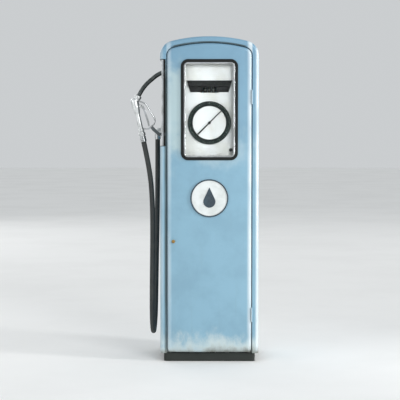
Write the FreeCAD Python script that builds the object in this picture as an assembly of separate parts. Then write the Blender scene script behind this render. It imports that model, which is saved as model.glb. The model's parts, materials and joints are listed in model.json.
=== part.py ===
import FreeCAD
import Part
import math
import os

from FreeCAD import Vector

# Clock-face fuel pump: sheet-metal casings on a cast base, a hinged front door with a window, the clock and
# the counter behind it, the pumping machinery inside, and a hose with its hand nozzle on the left side.
# Millimetres, +Z up, the front faces -Y and the nozzle hangs on the -X side.
# The origin is the centre of the base's underside, which is also the centre of the anchor holes.

# ---------------------------------------------------------------- driving dimensions
# Casing
BODY_WIDTH = 520.0
BODY_DEPTH = 424.0
BODY_HEIGHT = 1720.0
LEFT = -BODY_WIDTH / 2  # x of the casing's left face, from which all that hangs on it is measured
ARCH_RADIUS = 830.0  # the hood's crown
CORNER_RADIUS = 80.0  # between the crown and the sides
SEAM_Z = BODY_HEIGHT - 120.0  # the hood starts here
SHEET = 2.5
RIM_WIDTH = 33.0  # rounded rim round the front and rear openings
RIM_ROLL = 16.0
REBATE_DEPTH = 22.0  # how far the opening frames' ledge lies behind the rim's face
LEDGE_WIDTH = 24.0
FOOT_FLANGE = 45.0
FLANGE_END_Y = 185.0

# Base casting
BASE_WIDTH = BODY_WIDTH - 36.0
BASE_DEPTH = BODY_DEPTH - 30.0
BASE_HEIGHT = 45.0
BASE_WALL = 12.0
BASE_FLOOR = 8.0
BASE_EDGE_RADIUS = 18.0
BASE_OPENING_X = 220.0
BASE_OPENING_Y = 160.0
ANCHOR_SPACING_X = 400.0
ANCHOR_SPACING_Y = 300.0
ANCHOR_RADIUS = 9.0

# Front door and rear panel
DOOR_GAP = 4.0
DOOR_FOOT_GAP = 5.0
DOOR_PROUD = 3.0  # the door's edge stands this far in front of the rim
DOOR_CROWN = 6.0
DOOR_SHEET = 2.0
DOOR_ROLL = 14.0
DOOR_FOOT_RADIUS = 20.0
DOOR_DEPTH = 22.0
SEAT_GAP = 0.3
STIFFENER_HEIGHTS = (180.0, 500.0, 1010.0)
STIFFENER_WIDTH = 40.0
STIFFENER_SHEET = 2.0
PANEL_SCREW_HEIGHTS = (120.0, 620.0, 1120.0, 1560.0)
PANEL_SCREW_RADIUS = 3.0
PANEL_SCREW_HEAD = 7.0
LOUVRE_COLUMNS = (-80.0, 80.0)
LOUVRE_ROWS = 7
LOUVRE_PITCH = 24.0
LOUVRE_FOOT = 250.0
LOUVRE_HALF = 62.0

# Hinges on the door's right edge
HINGE_LEAF = 1.5
HINGE_LENGTH = 72.0
HINGE_BARREL_RADIUS = 4.5
HINGE_PIN_RADIUS = 2.2
HINGE_HEIGHTS = (250.0, 1400.0)
RUNNING_CLEARANCE = 0.05

# Window in the door
WINDOW_Z = 1334.0
WINDOW_WIDTH = 252.0
WINDOW_HEIGHT = 482.0
WINDOW_RADIUS = 14.0
BEZEL_WIDTH = 8.0
BEZEL_FRONT = 6.0
GASKET_WIDTH = 16.0
GASKET_FRONT = 3.5
GASKET_DEPTH = 11.5
GLASS_THICKNESS = 4.0
GLASS_LAP = 5.0
BEZEL_ROUND = 2.5

# Dial and counter, behind the window
DIAL_Z = 1266.0
DIAL_RING_RADIUS = 114.0
DIAL_FACE_RADIUS = 88.0
PLATE_THICKNESS = 3.0
PLATE_LAP = 12.0
POINTER_LENGTH = 173.0
POINTER_WIDTH = 9.0
POINTER_TIP_WIDTH = 5.0
POINTER_ANGLE = 45.0
HUB_RADIUS = 8.0
ARBOR_RADIUS = 4.0
PRICE_PLATE_HEIGHT = 86.0
COUNTER_Z = 1438.0
COUNTER_WINDOW_WIDTH = 96.0
COUNTER_WINDOW_HEIGHT = 28.0
VISOR_TOP_WIDTH = 240.0
VISOR_FOOT_WIDTH = 202.0
VISOR_HEIGHT = 62.0
WHEEL_RADIUS = 21.0
WHEEL_WIDTH = 18.0
WHEEL_PITCH = 21.0
WHEEL_COUNT = 3
AXLE_RADIUS = 3.5
KNOB_RADIUS = 9.0
KNOB_STEM = 4.0
KNOB_IN = (13.0, 30.0)  # from the window's right edge and lower edge
RING_HEIGHT = 8.0
FACE_HEIGHT = 3.0
PRICE_HEIGHT = 5.0
VISOR_OUT = 14.0
VISOR_SHEET = 1.6
MASK_HEIGHT = 2.0

# Badge on the door
BADGE_Z = 869.0
BADGE_RADIUS = 100.0
BADGE_THICKNESS = 5.0
BADGE_RIM = 7.0
DROP_RADIUS = 32.0
DROP_REACH = 2.35  # the drop's tip, in radii above its centre

# Door lock
LOCK_INSET = 33.0  # from the door's left edge
LOCK_Z = 640.0
LOCK_RADIUS = 9.0
CAM_WIDTH = 12.0
CAM_THICKNESS = 4.0
CAM_LAP = 12.0  # how far the turned cam reaches behind the frame's ledge
KEY_SLOT = 2.0

# Inner frame
POST_X = 172.0
POST_Y = 165.0
POST_SIZE = 30.0
POST_WALL = 3.0
POST_TOP = 1570.0
RAIL_SIZE = 25.0
RAIL_WALL = 4.0
RAIL_TOPS = (315.0, 585.0, 1075.0, 1570.0)
SHELF_THICKNESS = 8.0
METER_SHELF_THICKNESS = 4.0

# Motor, belt and pump
DRIVE_Y = 40.0
MOTOR_Z = 122.0
MOTOR_RADIUS = 60.0
MOTOR_X = (-14.0, 186.0)
PUMP_Z = 385.0
PUMP_X = (-10.0, 130.0)
PUMP_HALF_Y = 58.0
PUMP_COVER_RADIUS = 50.0
PULLEY_X = -50.0
PULLEY_WIDTH = 20.0
MOTOR_PULLEY_PITCH = 36.0
PUMP_PULLEY_PITCH = 72.0
SHAFT_RADIUS = 9.0
BELT_WIDTH = 11.0
BELT_OUT = 3.5
BELT_IN = 5.0
BELT_CLEARANCE = 0.4
SHAFT_SEAT = 24.0  # how far the shafts run into the motor and the pump
MOTOR_FINS = 10
MOTOR_FIN_PITCH = 14.0
MOTOR_FIN_REACH = 4.0
MOTOR_FEET_X = (4.0, 126.0)
MOTOR_FOOT_WIDTH = 24.0
TERMINAL_X = (60.0, 130.0)
PUMP_BOLTS = 8
PUMP_BOLT_RADIUS = 4.0

# Liquid path
SUCTION = (60.0, -55.0)
SUCTION_RADIUS = 24.0
SUCTION_BORE = 19.0
SUCTION_SOCKET = 21.0  # bore of the socket at the pipe's foot
SUCTION_SOCKET_LENGTH = 40.0
SEPARATOR = (-118.0, 40.0)
SEPARATOR_RADIUS = 48.0
SEPARATOR_TOP = 520.0
METER = (40.0, 0.0)
METER_FOOT_Z = 600.0
METER_RADIUS = 72.0
METER_HEIGHT = 130.0
METER_BOSS_RADIUS = 36.0
METER_BOSS_REACH = 122.0
METER_SHAFT_RADIUS = 5.0
METER_COUPLING = (11.0, 22.0)  # radius and length
PIPE_RADIUS = 14.0
DELIVERY_OFFSET = (-42.0, 36.0)  # from the meter's axis
GEARBOX_Z = (1186.0, 1350.0)
GEARBOX_HALF_X = 78.0
GEARBOX_BACK_Y = 40.0
CONDUIT = (130.0, -133.0)
CONDUIT_RADIUS = 10.5
CONDUIT_BORE = 8.5
CONDUIT_TOP = 900.0

# Nozzle recess in the left side
POCKET_Z = (1142.0, SEAM_Z)
POCKET_END_Y = 40.0
POCKET_DEPTH = 68.0
POCKET_SHEET = 2.0
STRIP_X = (LEFT + 8.0, LEFT + 18.0)
STRIP_THICKNESS = 4.0

# Nozzle, in the plane y = NOZZLE_Y
NOZZLE_Y = -132.0
GRIP_FOOT = (LEFT - 90.0, 1165.0)
GRIP_HEAD = (LEFT - 136.0, 1372.0)
GRIP_RADIUS = 13.0
VALVE_RADIUS = 21.0
SPOUT_RADIUS = 11.5
SPOUT_WALL = 1.5
GUARD_RADIUS = 4.0
GUARD_ROUTE = (
    (LEFT - 112.0, 1381.0),
    (LEFT - 80.0, 1369.0),
    (LEFT - 21.0, 1272.0),
    (LEFT - 67.0, 1231.0),
    (LEFT - 102.0, 1239.0),
)
SPOUT_ROUTE = (
    (LEFT - 133.0, 1380.0),
    (LEFT - 87.0, 1463.0),
    (LEFT - 12.0, 1526.0),
    (LEFT + 52.0, 1546.0),
)
NECK_LENGTH = 34.0
TRIGGER_PIVOT = (LEFT - 99.0, 1356.0)
TRIGGER_THICKNESS = 12.0
TRIGGER_PIN_RADIUS = 3.0
FERRULE_LENGTH = 30.0
FERRULE_RADIUS = 17.5
SWIVEL_LENGTH = 26.0
SWIVEL_RADIUS = 19.0
SWIVEL_STUB = 9.0
CURVED_GAP = 0.3
FORK_X = (LEFT + 24.0, LEFT + 30.0)
FORK_HALF = 30.0
REST_Z = (1198.0, 1214.0)

# Hose outlet and hose
OUTLET_Y = 125.0
OUTLET_Z = 1225.0
OUTLET_DROP = 26.0  # how far the elbow's axis stands off the casing
OUTLET_FERRULE_FOOT = 1178.0
OUTLET_FERRULE_LENGTH = 27.0
OUTLET_FLANGE_RADIUS = 34.0
HOSE_DIAMETER = 27.0
HOSE_ROUTE = (
    (LEFT - 26.0, 125.0, 1178.0),
    (LEFT - 26.0, 125.0, 1020.0),
    (LEFT - 28.0, 132.0, 830.0),
    (LEFT - 32.0, 145.0, 620.0),
    (LEFT - 37.0, 157.0, 410.0),
    (LEFT - 40.0, 156.0, 226.0),
    (LEFT - 43.0, 66.0, 136.0),
    (LEFT - 44.0, -61.0, 132.0),
    (LEFT - 46.0, -151.0, 222.0),
    (LEFT - 45.0, -154.0, 420.0),
    (LEFT - 42.0, -148.0, 640.0),
    (LEFT - 43.5, -137.0, 850.0),
    (LEFT - 57.5, -132.0, 1018.3),
    (LEFT - 90.0, -132.0, 1164.7),
)

# Switch lever in the recess
LEVER_Y = -48.0
LEVER_Z = 1290.0
LEVER_LENGTH = 96.0
LEVER_HUB_RADIUS = 13.0

FRONT_Y = -BODY_DEPTH / 2
HALF_WIDTH = BODY_WIDTH / 2
DOOR_FACE_Y = FRONT_Y - DOOR_PROUD - DOOR_CROWN  # the crown's foremost line
DOOR_BACK_Y = FRONT_Y - DOOR_PROUD + DOOR_DEPTH
DOOR_FOOT_Z = BASE_HEIGHT + DOOR_FOOT_GAP
OPENING_HALF = HALF_WIDTH - RIM_WIDTH
DOOR_HALF = OPENING_HALF - DOOR_GAP
LOCK_X = LOCK_INSET - DOOR_HALF
POCKET_BACK_X = -HALF_WIDTH + POCKET_DEPTH
PLATE_BACK_Y = -POST_Y - POST_SIZE / 2
PLATE_FRONT_Y = PLATE_BACK_Y - PLATE_THICKNESS
BEYOND = 40.0  # how far cutting shapes run past what they cut


# ---------------------------------------------------------------- shapes used by many pieces
def box(x, y, z):
    return Part.makeBox(x[1] - x[0], y[1] - y[0], z[1] - z[0], Vector(x[0], y[0], z[0]))


def rod(start, end, radius):
    """A round bar between two points."""
    along = Vector(*end) - Vector(*start)
    return Part.makeCylinder(radius, along.Length, Vector(*start), along)


def pipe(start, end, radius, bore):
    return rod(start, end, radius).cut(rod(start, end, bore))


def fuse(shapes):
    shapes = list(shapes)
    return shapes[0].multiFuse(shapes[1:]).removeSplitter() if len(shapes) > 1 else shapes[0]


def cut(shape, *tools):
    return shape.cut(list(tools)) if tools else shape


def group(shapes):
    return Part.makeCompound(list(shapes))


def turned_y(shape):
    """The same piece at the other end of the pump, turned half a turn about the vertical."""
    turned = shape.copy()
    turned.rotate(Vector(0, 0, 0), Vector(0, 0, 1), 180)
    return turned


def side_prism(points, y):
    """A flat outline in the XZ plane, given a thickness along Y."""
    corners = [Vector(px, y[0], pz) for px, pz in points]
    face = Part.Face(Part.makePolygon(corners + corners[:1]))
    return face.extrude(Vector(0, y[1] - y[0], 0))


def rounded_rectangle(width, height, radius, y, centre_z):
    block = box((-width / 2, width / 2), y, (centre_z - height / 2, centre_z + height / 2))
    corners = [e for e in block.Edges if abs(e.tangentAt(e.FirstParameter).y) > 0.99]
    return block.makeFillet(radius, corners)


def arch_prism(offset, bottom, y, foot_radius=0.0):
    """The pump's front outline, moved inwards by offset: straight sides, round corners and a crowned top."""
    half = HALF_WIDTH - offset
    corner_x = HALF_WIDTH - CORNER_RADIUS
    reach = ARCH_RADIUS - CORNER_RADIUS
    arch_z = BODY_HEIGHT - ARCH_RADIUS
    corner_z = arch_z + math.sqrt(reach**2 - corner_x**2)
    radius = CORNER_RADIUS - offset
    lean = math.atan2(corner_z - arch_z, corner_x)

    def on_corner(side, angle):
        return Vector(side * (corner_x + radius * math.cos(angle)), y[0], corner_z + radius * math.sin(angle))

    def on_foot(side, angle):
        centre_x = half - foot_radius
        return Vector(
            side * (centre_x + foot_radius * math.cos(angle)),
            y[0],
            bottom + foot_radius - foot_radius * math.sin(angle),
        )

    top = Vector(0, y[0], BODY_HEIGHT - offset)
    edges = [Part.LineSegment(on_foot(1, 0), on_corner(1, 0)).toShape()]
    edges.append(Part.Arc(on_corner(1, 0), on_corner(1, lean / 2), on_corner(1, lean)).toShape())
    edges.append(Part.Arc(on_corner(1, lean), top, on_corner(-1, lean)).toShape())
    edges.append(Part.Arc(on_corner(-1, lean), on_corner(-1, lean / 2), on_corner(-1, 0)).toShape())
    edges.append(Part.LineSegment(on_corner(-1, 0), on_foot(-1, 0)).toShape())
    quarter = math.pi / 2
    if foot_radius:
        edges.append(Part.Arc(on_foot(-1, 0), on_foot(-1, quarter / 2), on_foot(-1, quarter)).toShape())
    edges.append(Part.LineSegment(on_foot(-1, quarter), on_foot(1, quarter)).toShape())
    if foot_radius:
        edges.append(Part.Arc(on_foot(1, quarter), on_foot(1, quarter / 2), on_foot(1, 0)).toShape())
    return Part.Face(Part.Wire(edges)).extrude(Vector(0, y[1] - y[0], 0))


def route_path(points, share=0.45):
    """Straight runs joined by arcs that touch them; each arc is as large as its two runs allow."""
    points = [Vector(*p) for p in points]
    edges = []
    radii = []
    last = points[0]
    for before, corner, after in zip(points, points[1:], points[2:]):
        into = (corner - before).normalize()
        out = (after - corner).normalize()
        turn = into.getAngle(out)
        reach = share * min((corner - before).Length, (after - corner).Length)
        radius = reach / math.tan(turn / 2)
        radii.append(radius)
        start = corner - into * reach
        end = corner + out * reach
        inwards = (out - into).normalize()
        middle = corner + inwards * (radius / math.cos(turn / 2) - radius)
        edges.append(Part.LineSegment(last, start).toShape())
        edges.append(Part.Arc(start, middle, end).toShape())
        last = end
    edges.append(Part.LineSegment(last, points[-1]).toShape())
    return Part.Wire(edges), radii


def bent_bar(points, radius):
    """A round bar bent along a route."""
    path, _ = route_path(points)
    first = Vector(*points[0])
    along = (Vector(*points[1]) - first).normalize()
    ring = Part.Wire([Part.makeCircle(radius, first, along)])
    return path.makePipeShell([ring], True, False)


def square_elbow(start, corner, end, radius):
    """Two round lengths that meet in a ball-shaped corner."""
    ball = Part.makeSphere(radius, Vector(*corner))
    return fuse([rod(start, corner, radius), rod(corner, end, radius), ball])


# ---------------------------------------------------------------- casing
def rolled(block, radius, low):
    """Rounds a casing block's front and rear outline edges, all but the ones at its foot."""
    ends = (block.BoundBox.YMin, block.BoundBox.YMax)
    edges = []
    for edge in block.Edges:
        flat = [v for v in edge.Vertexes if min(abs(v.Y - end) for end in ends) < 0.01]
        same_end = edge.BoundBox.YLength < 0.01
        if len(flat) == len(edge.Vertexes) and same_end and edge.CenterOfMass.z > low + 1:
            edges.append(edge)
    return block.makeFillet(radius, edges)


def casing_shell():
    """Hood and sides as one folded sheet, open at the front, at the rear and below."""
    low = BASE_HEIGHT - BEYOND
    half = BODY_DEPTH / 2
    outer = rolled(arch_prism(0, low, (-half, half)), RIM_ROLL, low)
    inner = arch_prism(SHEET, low - BEYOND, (SHEET - half, half - SHEET))
    inner = rolled(inner, RIM_ROLL - SHEET, low - BEYOND)
    mouth = arch_prism(RIM_WIDTH, low - BEYOND, (-half - BEYOND, half + BEYOND))
    return outer.cut(inner).cut(mouth)


def foot_flange(side):
    reach = HALF_WIDTH - SHEET / 2
    xs = sorted((side * reach, side * (HALF_WIDTH - FOOT_FLANGE)))
    return box(xs, (-FLANGE_END_Y, FLANGE_END_Y), (BASE_HEIGHT, BASE_HEIGHT + SHEET))


def pocket_cut():
    return box((-HALF_WIDTH - BEYOND, -OPENING_HALF - SHEET), (FRONT_Y - BEYOND, POCKET_END_Y), POCKET_Z)


def make_casings():
    shell = casing_shell()
    deep = (-BODY_DEPTH, BODY_DEPTH)
    sides_z = (BASE_HEIGHT, SEAM_Z)
    hood = shell.common(box((-BODY_WIDTH, BODY_WIDTH), deep, (SEAM_Z, BODY_HEIGHT + BEYOND)))
    left = shell.common(box((-BODY_WIDTH, 0), deep, sides_z))
    right = shell.common(box((0, BODY_WIDTH), deep, sides_z))
    outlet = rod((-HALF_WIDTH - BEYOND, OUTLET_Y, OUTLET_Z), (POCKET_BACK_X, OUTLET_Y, OUTLET_Z), PIPE_RADIUS)
    left = fuse([left, foot_flange(-1)]).cut([pocket_cut(), outlet])
    return {
        "hood": hood,
        "left_side_casing": left,
        "right_side_casing": fuse([right, foot_flange(1)]),
    }


def opening_frame():
    """The folded frame behind the front rim: a wall beside the door's edge and a ledge behind it."""
    wall_y = (FRONT_Y + SHEET, FRONT_Y + REBATE_DEPTH)
    ledge_y = (wall_y[1], wall_y[1] + SHEET)
    low = BASE_HEIGHT - BEYOND
    outer = RIM_WIDTH - SHEET
    wall = arch_prism(outer, low, wall_y).cut(arch_prism(RIM_WIDTH, low - 1, wall_y))
    ledge = arch_prism(outer, low, ledge_y).cut(arch_prism(RIM_WIDTH + LEDGE_WIDTH, low - 1, ledge_y))
    keep = box((-BODY_WIDTH, BODY_WIDTH), (-BODY_DEPTH, 0), (BASE_HEIGHT, BODY_HEIGHT))
    return fuse([wall, ledge]).common(keep)


def make_base():
    half_x = BASE_WIDTH / 2
    half_y = BASE_DEPTH / 2
    block = box((-half_x, half_x), (-half_y, half_y), (0, BASE_HEIGHT))
    block = block.makeFillet(
        BASE_EDGE_RADIUS, [e for e in block.Edges if abs(e.tangentAt(e.FirstParameter).z) > 0.99]
    )
    hollow = box(
        (BASE_WALL - half_x, half_x - BASE_WALL),
        (BASE_WALL - half_y, half_y - BASE_WALL),
        (BASE_FLOOR, BASE_HEIGHT + 1),
    )
    opening = box(
        (-BASE_OPENING_X / 2, BASE_OPENING_X / 2),
        (-BASE_OPENING_Y / 2, BASE_OPENING_Y / 2),
        (-1, BASE_FLOOR + 1),
    )
    holes = [opening]
    for x in (-ANCHOR_SPACING_X / 2, ANCHOR_SPACING_X / 2):
        for y in (-ANCHOR_SPACING_Y / 2, ANCHOR_SPACING_Y / 2):
            holes.append(rod((x, y, -1), (x, y, BASE_FLOOR + 1), ANCHOR_RADIUS))
    holes.append(rod((*CONDUIT, -1), (*CONDUIT, BASE_FLOOR + 1), CONDUIT_RADIUS + 1))
    return block.cut(hollow).cut(holes)


# ---------------------------------------------------------------- front door and rear panel
def pan_block(offset, face_y, roll):
    """A crowned slab with a rolled front edge, the outside or the inside of the door's pan."""
    side = RIM_WIDTH + DOOR_GAP + offset
    slab = arch_prism(side, DOOR_FOOT_Z + offset, (face_y - 1, DOOR_BACK_Y), DOOR_FOOT_RADIUS - offset)
    crown_radius = (DOOR_HALF**2 + DOOR_CROWN**2) / (2 * DOOR_CROWN) - offset
    low = Vector(0, face_y + crown_radius, 0)
    crown = Part.makeCylinder(crown_radius, 2 * BODY_HEIGHT, low, Vector(0, 0, 1))
    slab = slab.common(crown)
    middle_y = (face_y + DOOR_BACK_Y) / 2
    front_edges = [e for e in slab.Edges if e.BoundBox.YMax < middle_y]
    return slab.makeFillet(roll, front_edges)


def pan():
    outside = pan_block(0, DOOR_FACE_Y, DOOR_ROLL)
    inside = pan_block(DOOR_SHEET, DOOR_FACE_Y + DOOR_SHEET, DOOR_ROLL - DOOR_SHEET)
    return outside.cut(inside), outside


def window_block(margin, y):
    """A slab with the window's outline, larger by the margin all round."""
    width = WINDOW_WIDTH + 2 * margin
    height = WINDOW_HEIGHT + 2 * margin
    return rounded_rectangle(width, height, WINDOW_RADIUS + margin, y, WINDOW_Z)


def window_ring(outer_margin, inner_margin, y):
    return window_block(outer_margin, y).cut(window_block(inner_margin, (y[0] - 1, y[1] + 1)))


def make_window(door):
    hole_y = (DOOR_FACE_Y - BEYOND, DOOR_FACE_Y + BEYOND)
    door = door.cut(window_block(BEZEL_WIDTH + GASKET_WIDTH / 2, hole_y))
    gasket_y = (DOOR_FACE_Y - GASKET_FRONT, DOOR_FACE_Y - GASKET_FRONT + GASKET_DEPTH)
    gasket = window_ring(BEZEL_WIDTH + GASKET_WIDTH, BEZEL_WIDTH, gasket_y).cut(door)
    bezel_y = (DOOR_FACE_Y - BEZEL_FRONT, gasket_y[1])
    glass_y = (bezel_y[1] - GLASS_THICKNESS - 1, bezel_y[1] - 1)
    glass = window_block(GLASS_LAP, glass_y)
    bezel = window_ring(BEZEL_WIDTH, 0, bezel_y)
    front_edges = [e for e in bezel.Edges if e.BoundBox.YMax < bezel_y[0] + 0.01]
    bezel = bezel.makeFillet(BEZEL_ROUND, front_edges).cut(glass)
    return door, {"window_gasket": gasket, "window_bezel": bezel, "window_glass": glass}


def lock_axis(y):
    return (LOCK_X, y, LOCK_Z)


def make_lock():
    """A round lock plug through the door; its cam points up when open and turns behind the ledge."""
    cam_front = FRONT_Y + REBATE_DEPTH + SHEET + SEAT_GAP
    cam_back = cam_front + CAM_THICKNESS
    reach = LOCK_X - (LEDGE_WIDTH - OPENING_HALF) + CAM_LAP
    plug = rod(lock_axis(DOOR_FACE_Y - 1), lock_axis(cam_back), LOCK_RADIUS)
    cam_x = (LOCK_X - CAM_WIDTH / 2, LOCK_X + CAM_WIDTH / 2)
    cam = box(cam_x, (cam_front, cam_back), (LOCK_Z, LOCK_Z + reach))
    slot = box(
        (LOCK_X - KEY_SLOT / 2, LOCK_X + KEY_SLOT / 2),
        (DOOR_FACE_Y - 2, DOOR_FACE_Y + 2),
        (LOCK_Z - LOCK_RADIUS / 2, LOCK_Z + LOCK_RADIUS / 2),
    )
    return fuse([plug, cam]).cut(slot)


def make_stiffeners():
    """Folded channels across the inside of the door's sheet, clear of the window and the lock."""
    inside = pan_block(DOOR_SHEET, DOOR_FACE_Y + DOOR_SHEET, DOOR_ROLL - DOOR_SHEET)
    bars = []
    sheet = STIFFENER_SHEET
    back = DOOR_BACK_Y - 4
    for low in STIFFENER_HEIGHTS:
        high = low + STIFFENER_WIDTH
        outer = box((-DOOR_HALF + DOOR_ROLL, DOOR_HALF - DOOR_ROLL), (DOOR_FACE_Y, back), (low, high))
        inner = box((-DOOR_HALF, DOOR_HALF), (DOOR_FACE_Y, back - sheet), (low + sheet, high - sheet))
        bars.append(outer.common(inside).cut(inner))
    return group(bars)


def door_front_y(x):
    crown_radius = (DOOR_HALF**2 + DOOR_CROWN**2) / (2 * DOOR_CROWN)
    return DOOR_FACE_Y + crown_radius - math.sqrt(crown_radius**2 - x**2)


def make_badge(door_outside):
    """A plain round enamel plate with a raised rim and a drop of fuel in relief."""
    front = DOOR_FACE_Y - BADGE_THICKNESS
    back = door_front_y(BADGE_RADIUS) + 1
    face_radius = BADGE_RADIUS - BADGE_RIM
    disc = rod((0, front + 1.5, BADGE_Z), (0, back, BADGE_Z), face_radius).cut(door_outside)
    rim = pipe((0, front, BADGE_Z), (0, back, BADGE_Z), BADGE_RADIUS, face_radius).cut(door_outside)
    drop_y = (front - 0.5, front + 1.5)
    low_z = BADGE_Z - DROP_RADIUS * 0.55
    lean = math.acos(1 / DROP_REACH)
    tip_z = low_z + DROP_RADIUS * DROP_REACH
    bulb = rod((0, drop_y[0], low_z), (0, drop_y[1], low_z), DROP_RADIUS)
    side_x = DROP_RADIUS * math.sin(lean)
    side_z = low_z + DROP_RADIUS * math.cos(lean)
    tail = side_prism([(-side_x, side_z), (side_x, side_z), (0, tip_z)], drop_y)
    return {"badge_plate": disc, "badge_relief": group([rim, fuse([bulb, tail])])}


def hinge(z):
    """One three-knuckle hinge: the leaf on the frame, the leaf on the door and its pin."""
    axis_x = OPENING_HALF - DOOR_GAP / 2
    axis_y = FRONT_Y - HINGE_BARREL_RADIUS - 0.5
    third = HINGE_LENGTH / 3
    low = z - HINGE_LENGTH / 2
    back = DOOR_BACK_Y - 3
    clear_y = axis_y + HINGE_BARREL_RADIUS + 1.5

    def knuckle(start, end):
        return rod((axis_x, axis_y, start), (axis_x, axis_y, end), HINGE_BARREL_RADIUS)

    frame_x = (OPENING_HALF - HINGE_LEAF, OPENING_HALF)
    door_x = (DOOR_HALF, DOOR_HALF + HINGE_LEAF)
    whole = (low, low + HINGE_LENGTH)
    middle = (low + third, low + 2 * third)
    gap = 0.4
    frame_leaf = fuse(
        [
            box(frame_x, (clear_y, back), whole),
            box(frame_x, (axis_y, clear_y), (low, middle[0] - gap)),
            box(frame_x, (axis_y, clear_y), (middle[1] + gap, whole[1])),
            knuckle(low, middle[0] - gap),
            knuckle(middle[1] + gap, whole[1]),
        ]
    )
    door_leaf = fuse(
        [
            box(door_x, (clear_y, back), whole),
            box(door_x, (axis_y, clear_y), middle),
            knuckle(*middle),
        ]
    )
    bore_radius = HINGE_PIN_RADIUS + RUNNING_CLEARANCE
    bore = rod((axis_x, axis_y, low - 1), (axis_x, axis_y, whole[1] + 1), bore_radius)
    pin = rod((axis_x, axis_y, low), (axis_x, axis_y, whole[1]), HINGE_PIN_RADIUS)
    cap = Part.makeSphere(HINGE_BARREL_RADIUS - 1, Vector(axis_x, axis_y, whole[1]))
    cap = cap.common(box((axis_x - 9, axis_x + 9), (axis_y - 9, axis_y + 9), (whole[1], whole[1] + 9)))
    return frame_leaf.cut(bore), door_leaf.cut(bore), fuse([pin, cap])


def make_front_door():
    sheet, outside = pan()
    sheet, parts = make_window(sheet)
    hole = rod(lock_axis(DOOR_FACE_Y - BEYOND), lock_axis(DOOR_BACK_Y), LOCK_RADIUS + RUNNING_CLEARANCE)
    parts["front_door"] = sheet.cut(hole)
    parts["door_stiffeners"] = make_stiffeners()
    parts["door_lock"] = make_lock()
    parts.update(make_badge(outside))
    leaves = [hinge(z) for z in HINGE_HEIGHTS]
    parts["hinge_frame_leaves"] = group(piece for leaf in leaves for piece in (leaf[0], leaf[2]))
    parts["hinge_door_leaves"] = group(leaf[1] for leaf in leaves)
    return parts


def panel_screw_places():
    reach = DOOR_HALF - DOOR_ROLL - 1
    return [(side * reach, z) for side in (-1, 1) for z in PANEL_SCREW_HEIGHTS]


def louvre(z, x):
    """A pressed louvre: a hood over a slot, seen from outside the rear panel."""
    half = LOUVRE_HALF
    y0 = DOOR_FACE_Y
    profile = [(y0 + 1.2, z + 9), (y0 - 5.5, z - 3), (y0 - 4.3, z - 4), (y0 + 3, z + 8)]
    corners = [Vector(x - half, py, pz) for py, pz in profile]
    face = Part.Face(Part.makePolygon(corners + corners[:1]))
    hood = face.extrude(Vector(2 * half, 0, 0))
    slot = box((x - half + 3, x + half - 3), (y0 - BEYOND / 4, y0 + BEYOND / 4), (z - 4, z + 3))
    return hood, slot


def make_rear_panel():
    sheet, _ = pan()
    for row in range(LOUVRE_ROWS):
        for x in LOUVRE_COLUMNS:
            hood, slot = louvre(LOUVRE_FOOT + LOUVRE_PITCH * row, x)
            sheet = sheet.cut(slot).fuse(hood)
    heads = []
    for x, z in panel_screw_places():
        front = door_front_y(x)
        hole = rod((x, front - BEYOND, z), (x, DOOR_BACK_Y, z), PANEL_SCREW_RADIUS + 0.2)
        sheet = sheet.cut(hole)
        shank = rod((x, front - 0.5, z), (x, FRONT_Y + REBATE_DEPTH + SHEET + 4, z), PANEL_SCREW_RADIUS)
        head = rod((x, front - 3, z), (x, front + 0.2, z), PANEL_SCREW_HEAD)
        head = head.cut(pan_block(0, DOOR_FACE_Y, DOOR_ROLL))
        heads.append(fuse([head, shank]))
    return turned_y(sheet), turned_y(group(heads))


def make_opening_frames():
    rear = opening_frame()
    for x, z in panel_screw_places():
        rear = rear.cut(rod((x, FRONT_Y, z), (x, 0, z), PANEL_SCREW_RADIUS))
    return {"front_opening_frame": opening_frame(), "rear_opening_frame": turned_y(rear)}


# ---------------------------------------------------------------- dial and counter
def knob_place():
    return WINDOW_WIDTH / 2 - KNOB_IN[0], WINDOW_Z - WINDOW_HEIGHT / 2 + KNOB_IN[1]


def through_plate(place, radius):
    """A round cutter through the dial plate."""
    return rod((place[0], PLATE_FRONT_Y - 9, place[1]), (place[0], PLATE_BACK_Y + 9, place[1]), radius)


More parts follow.
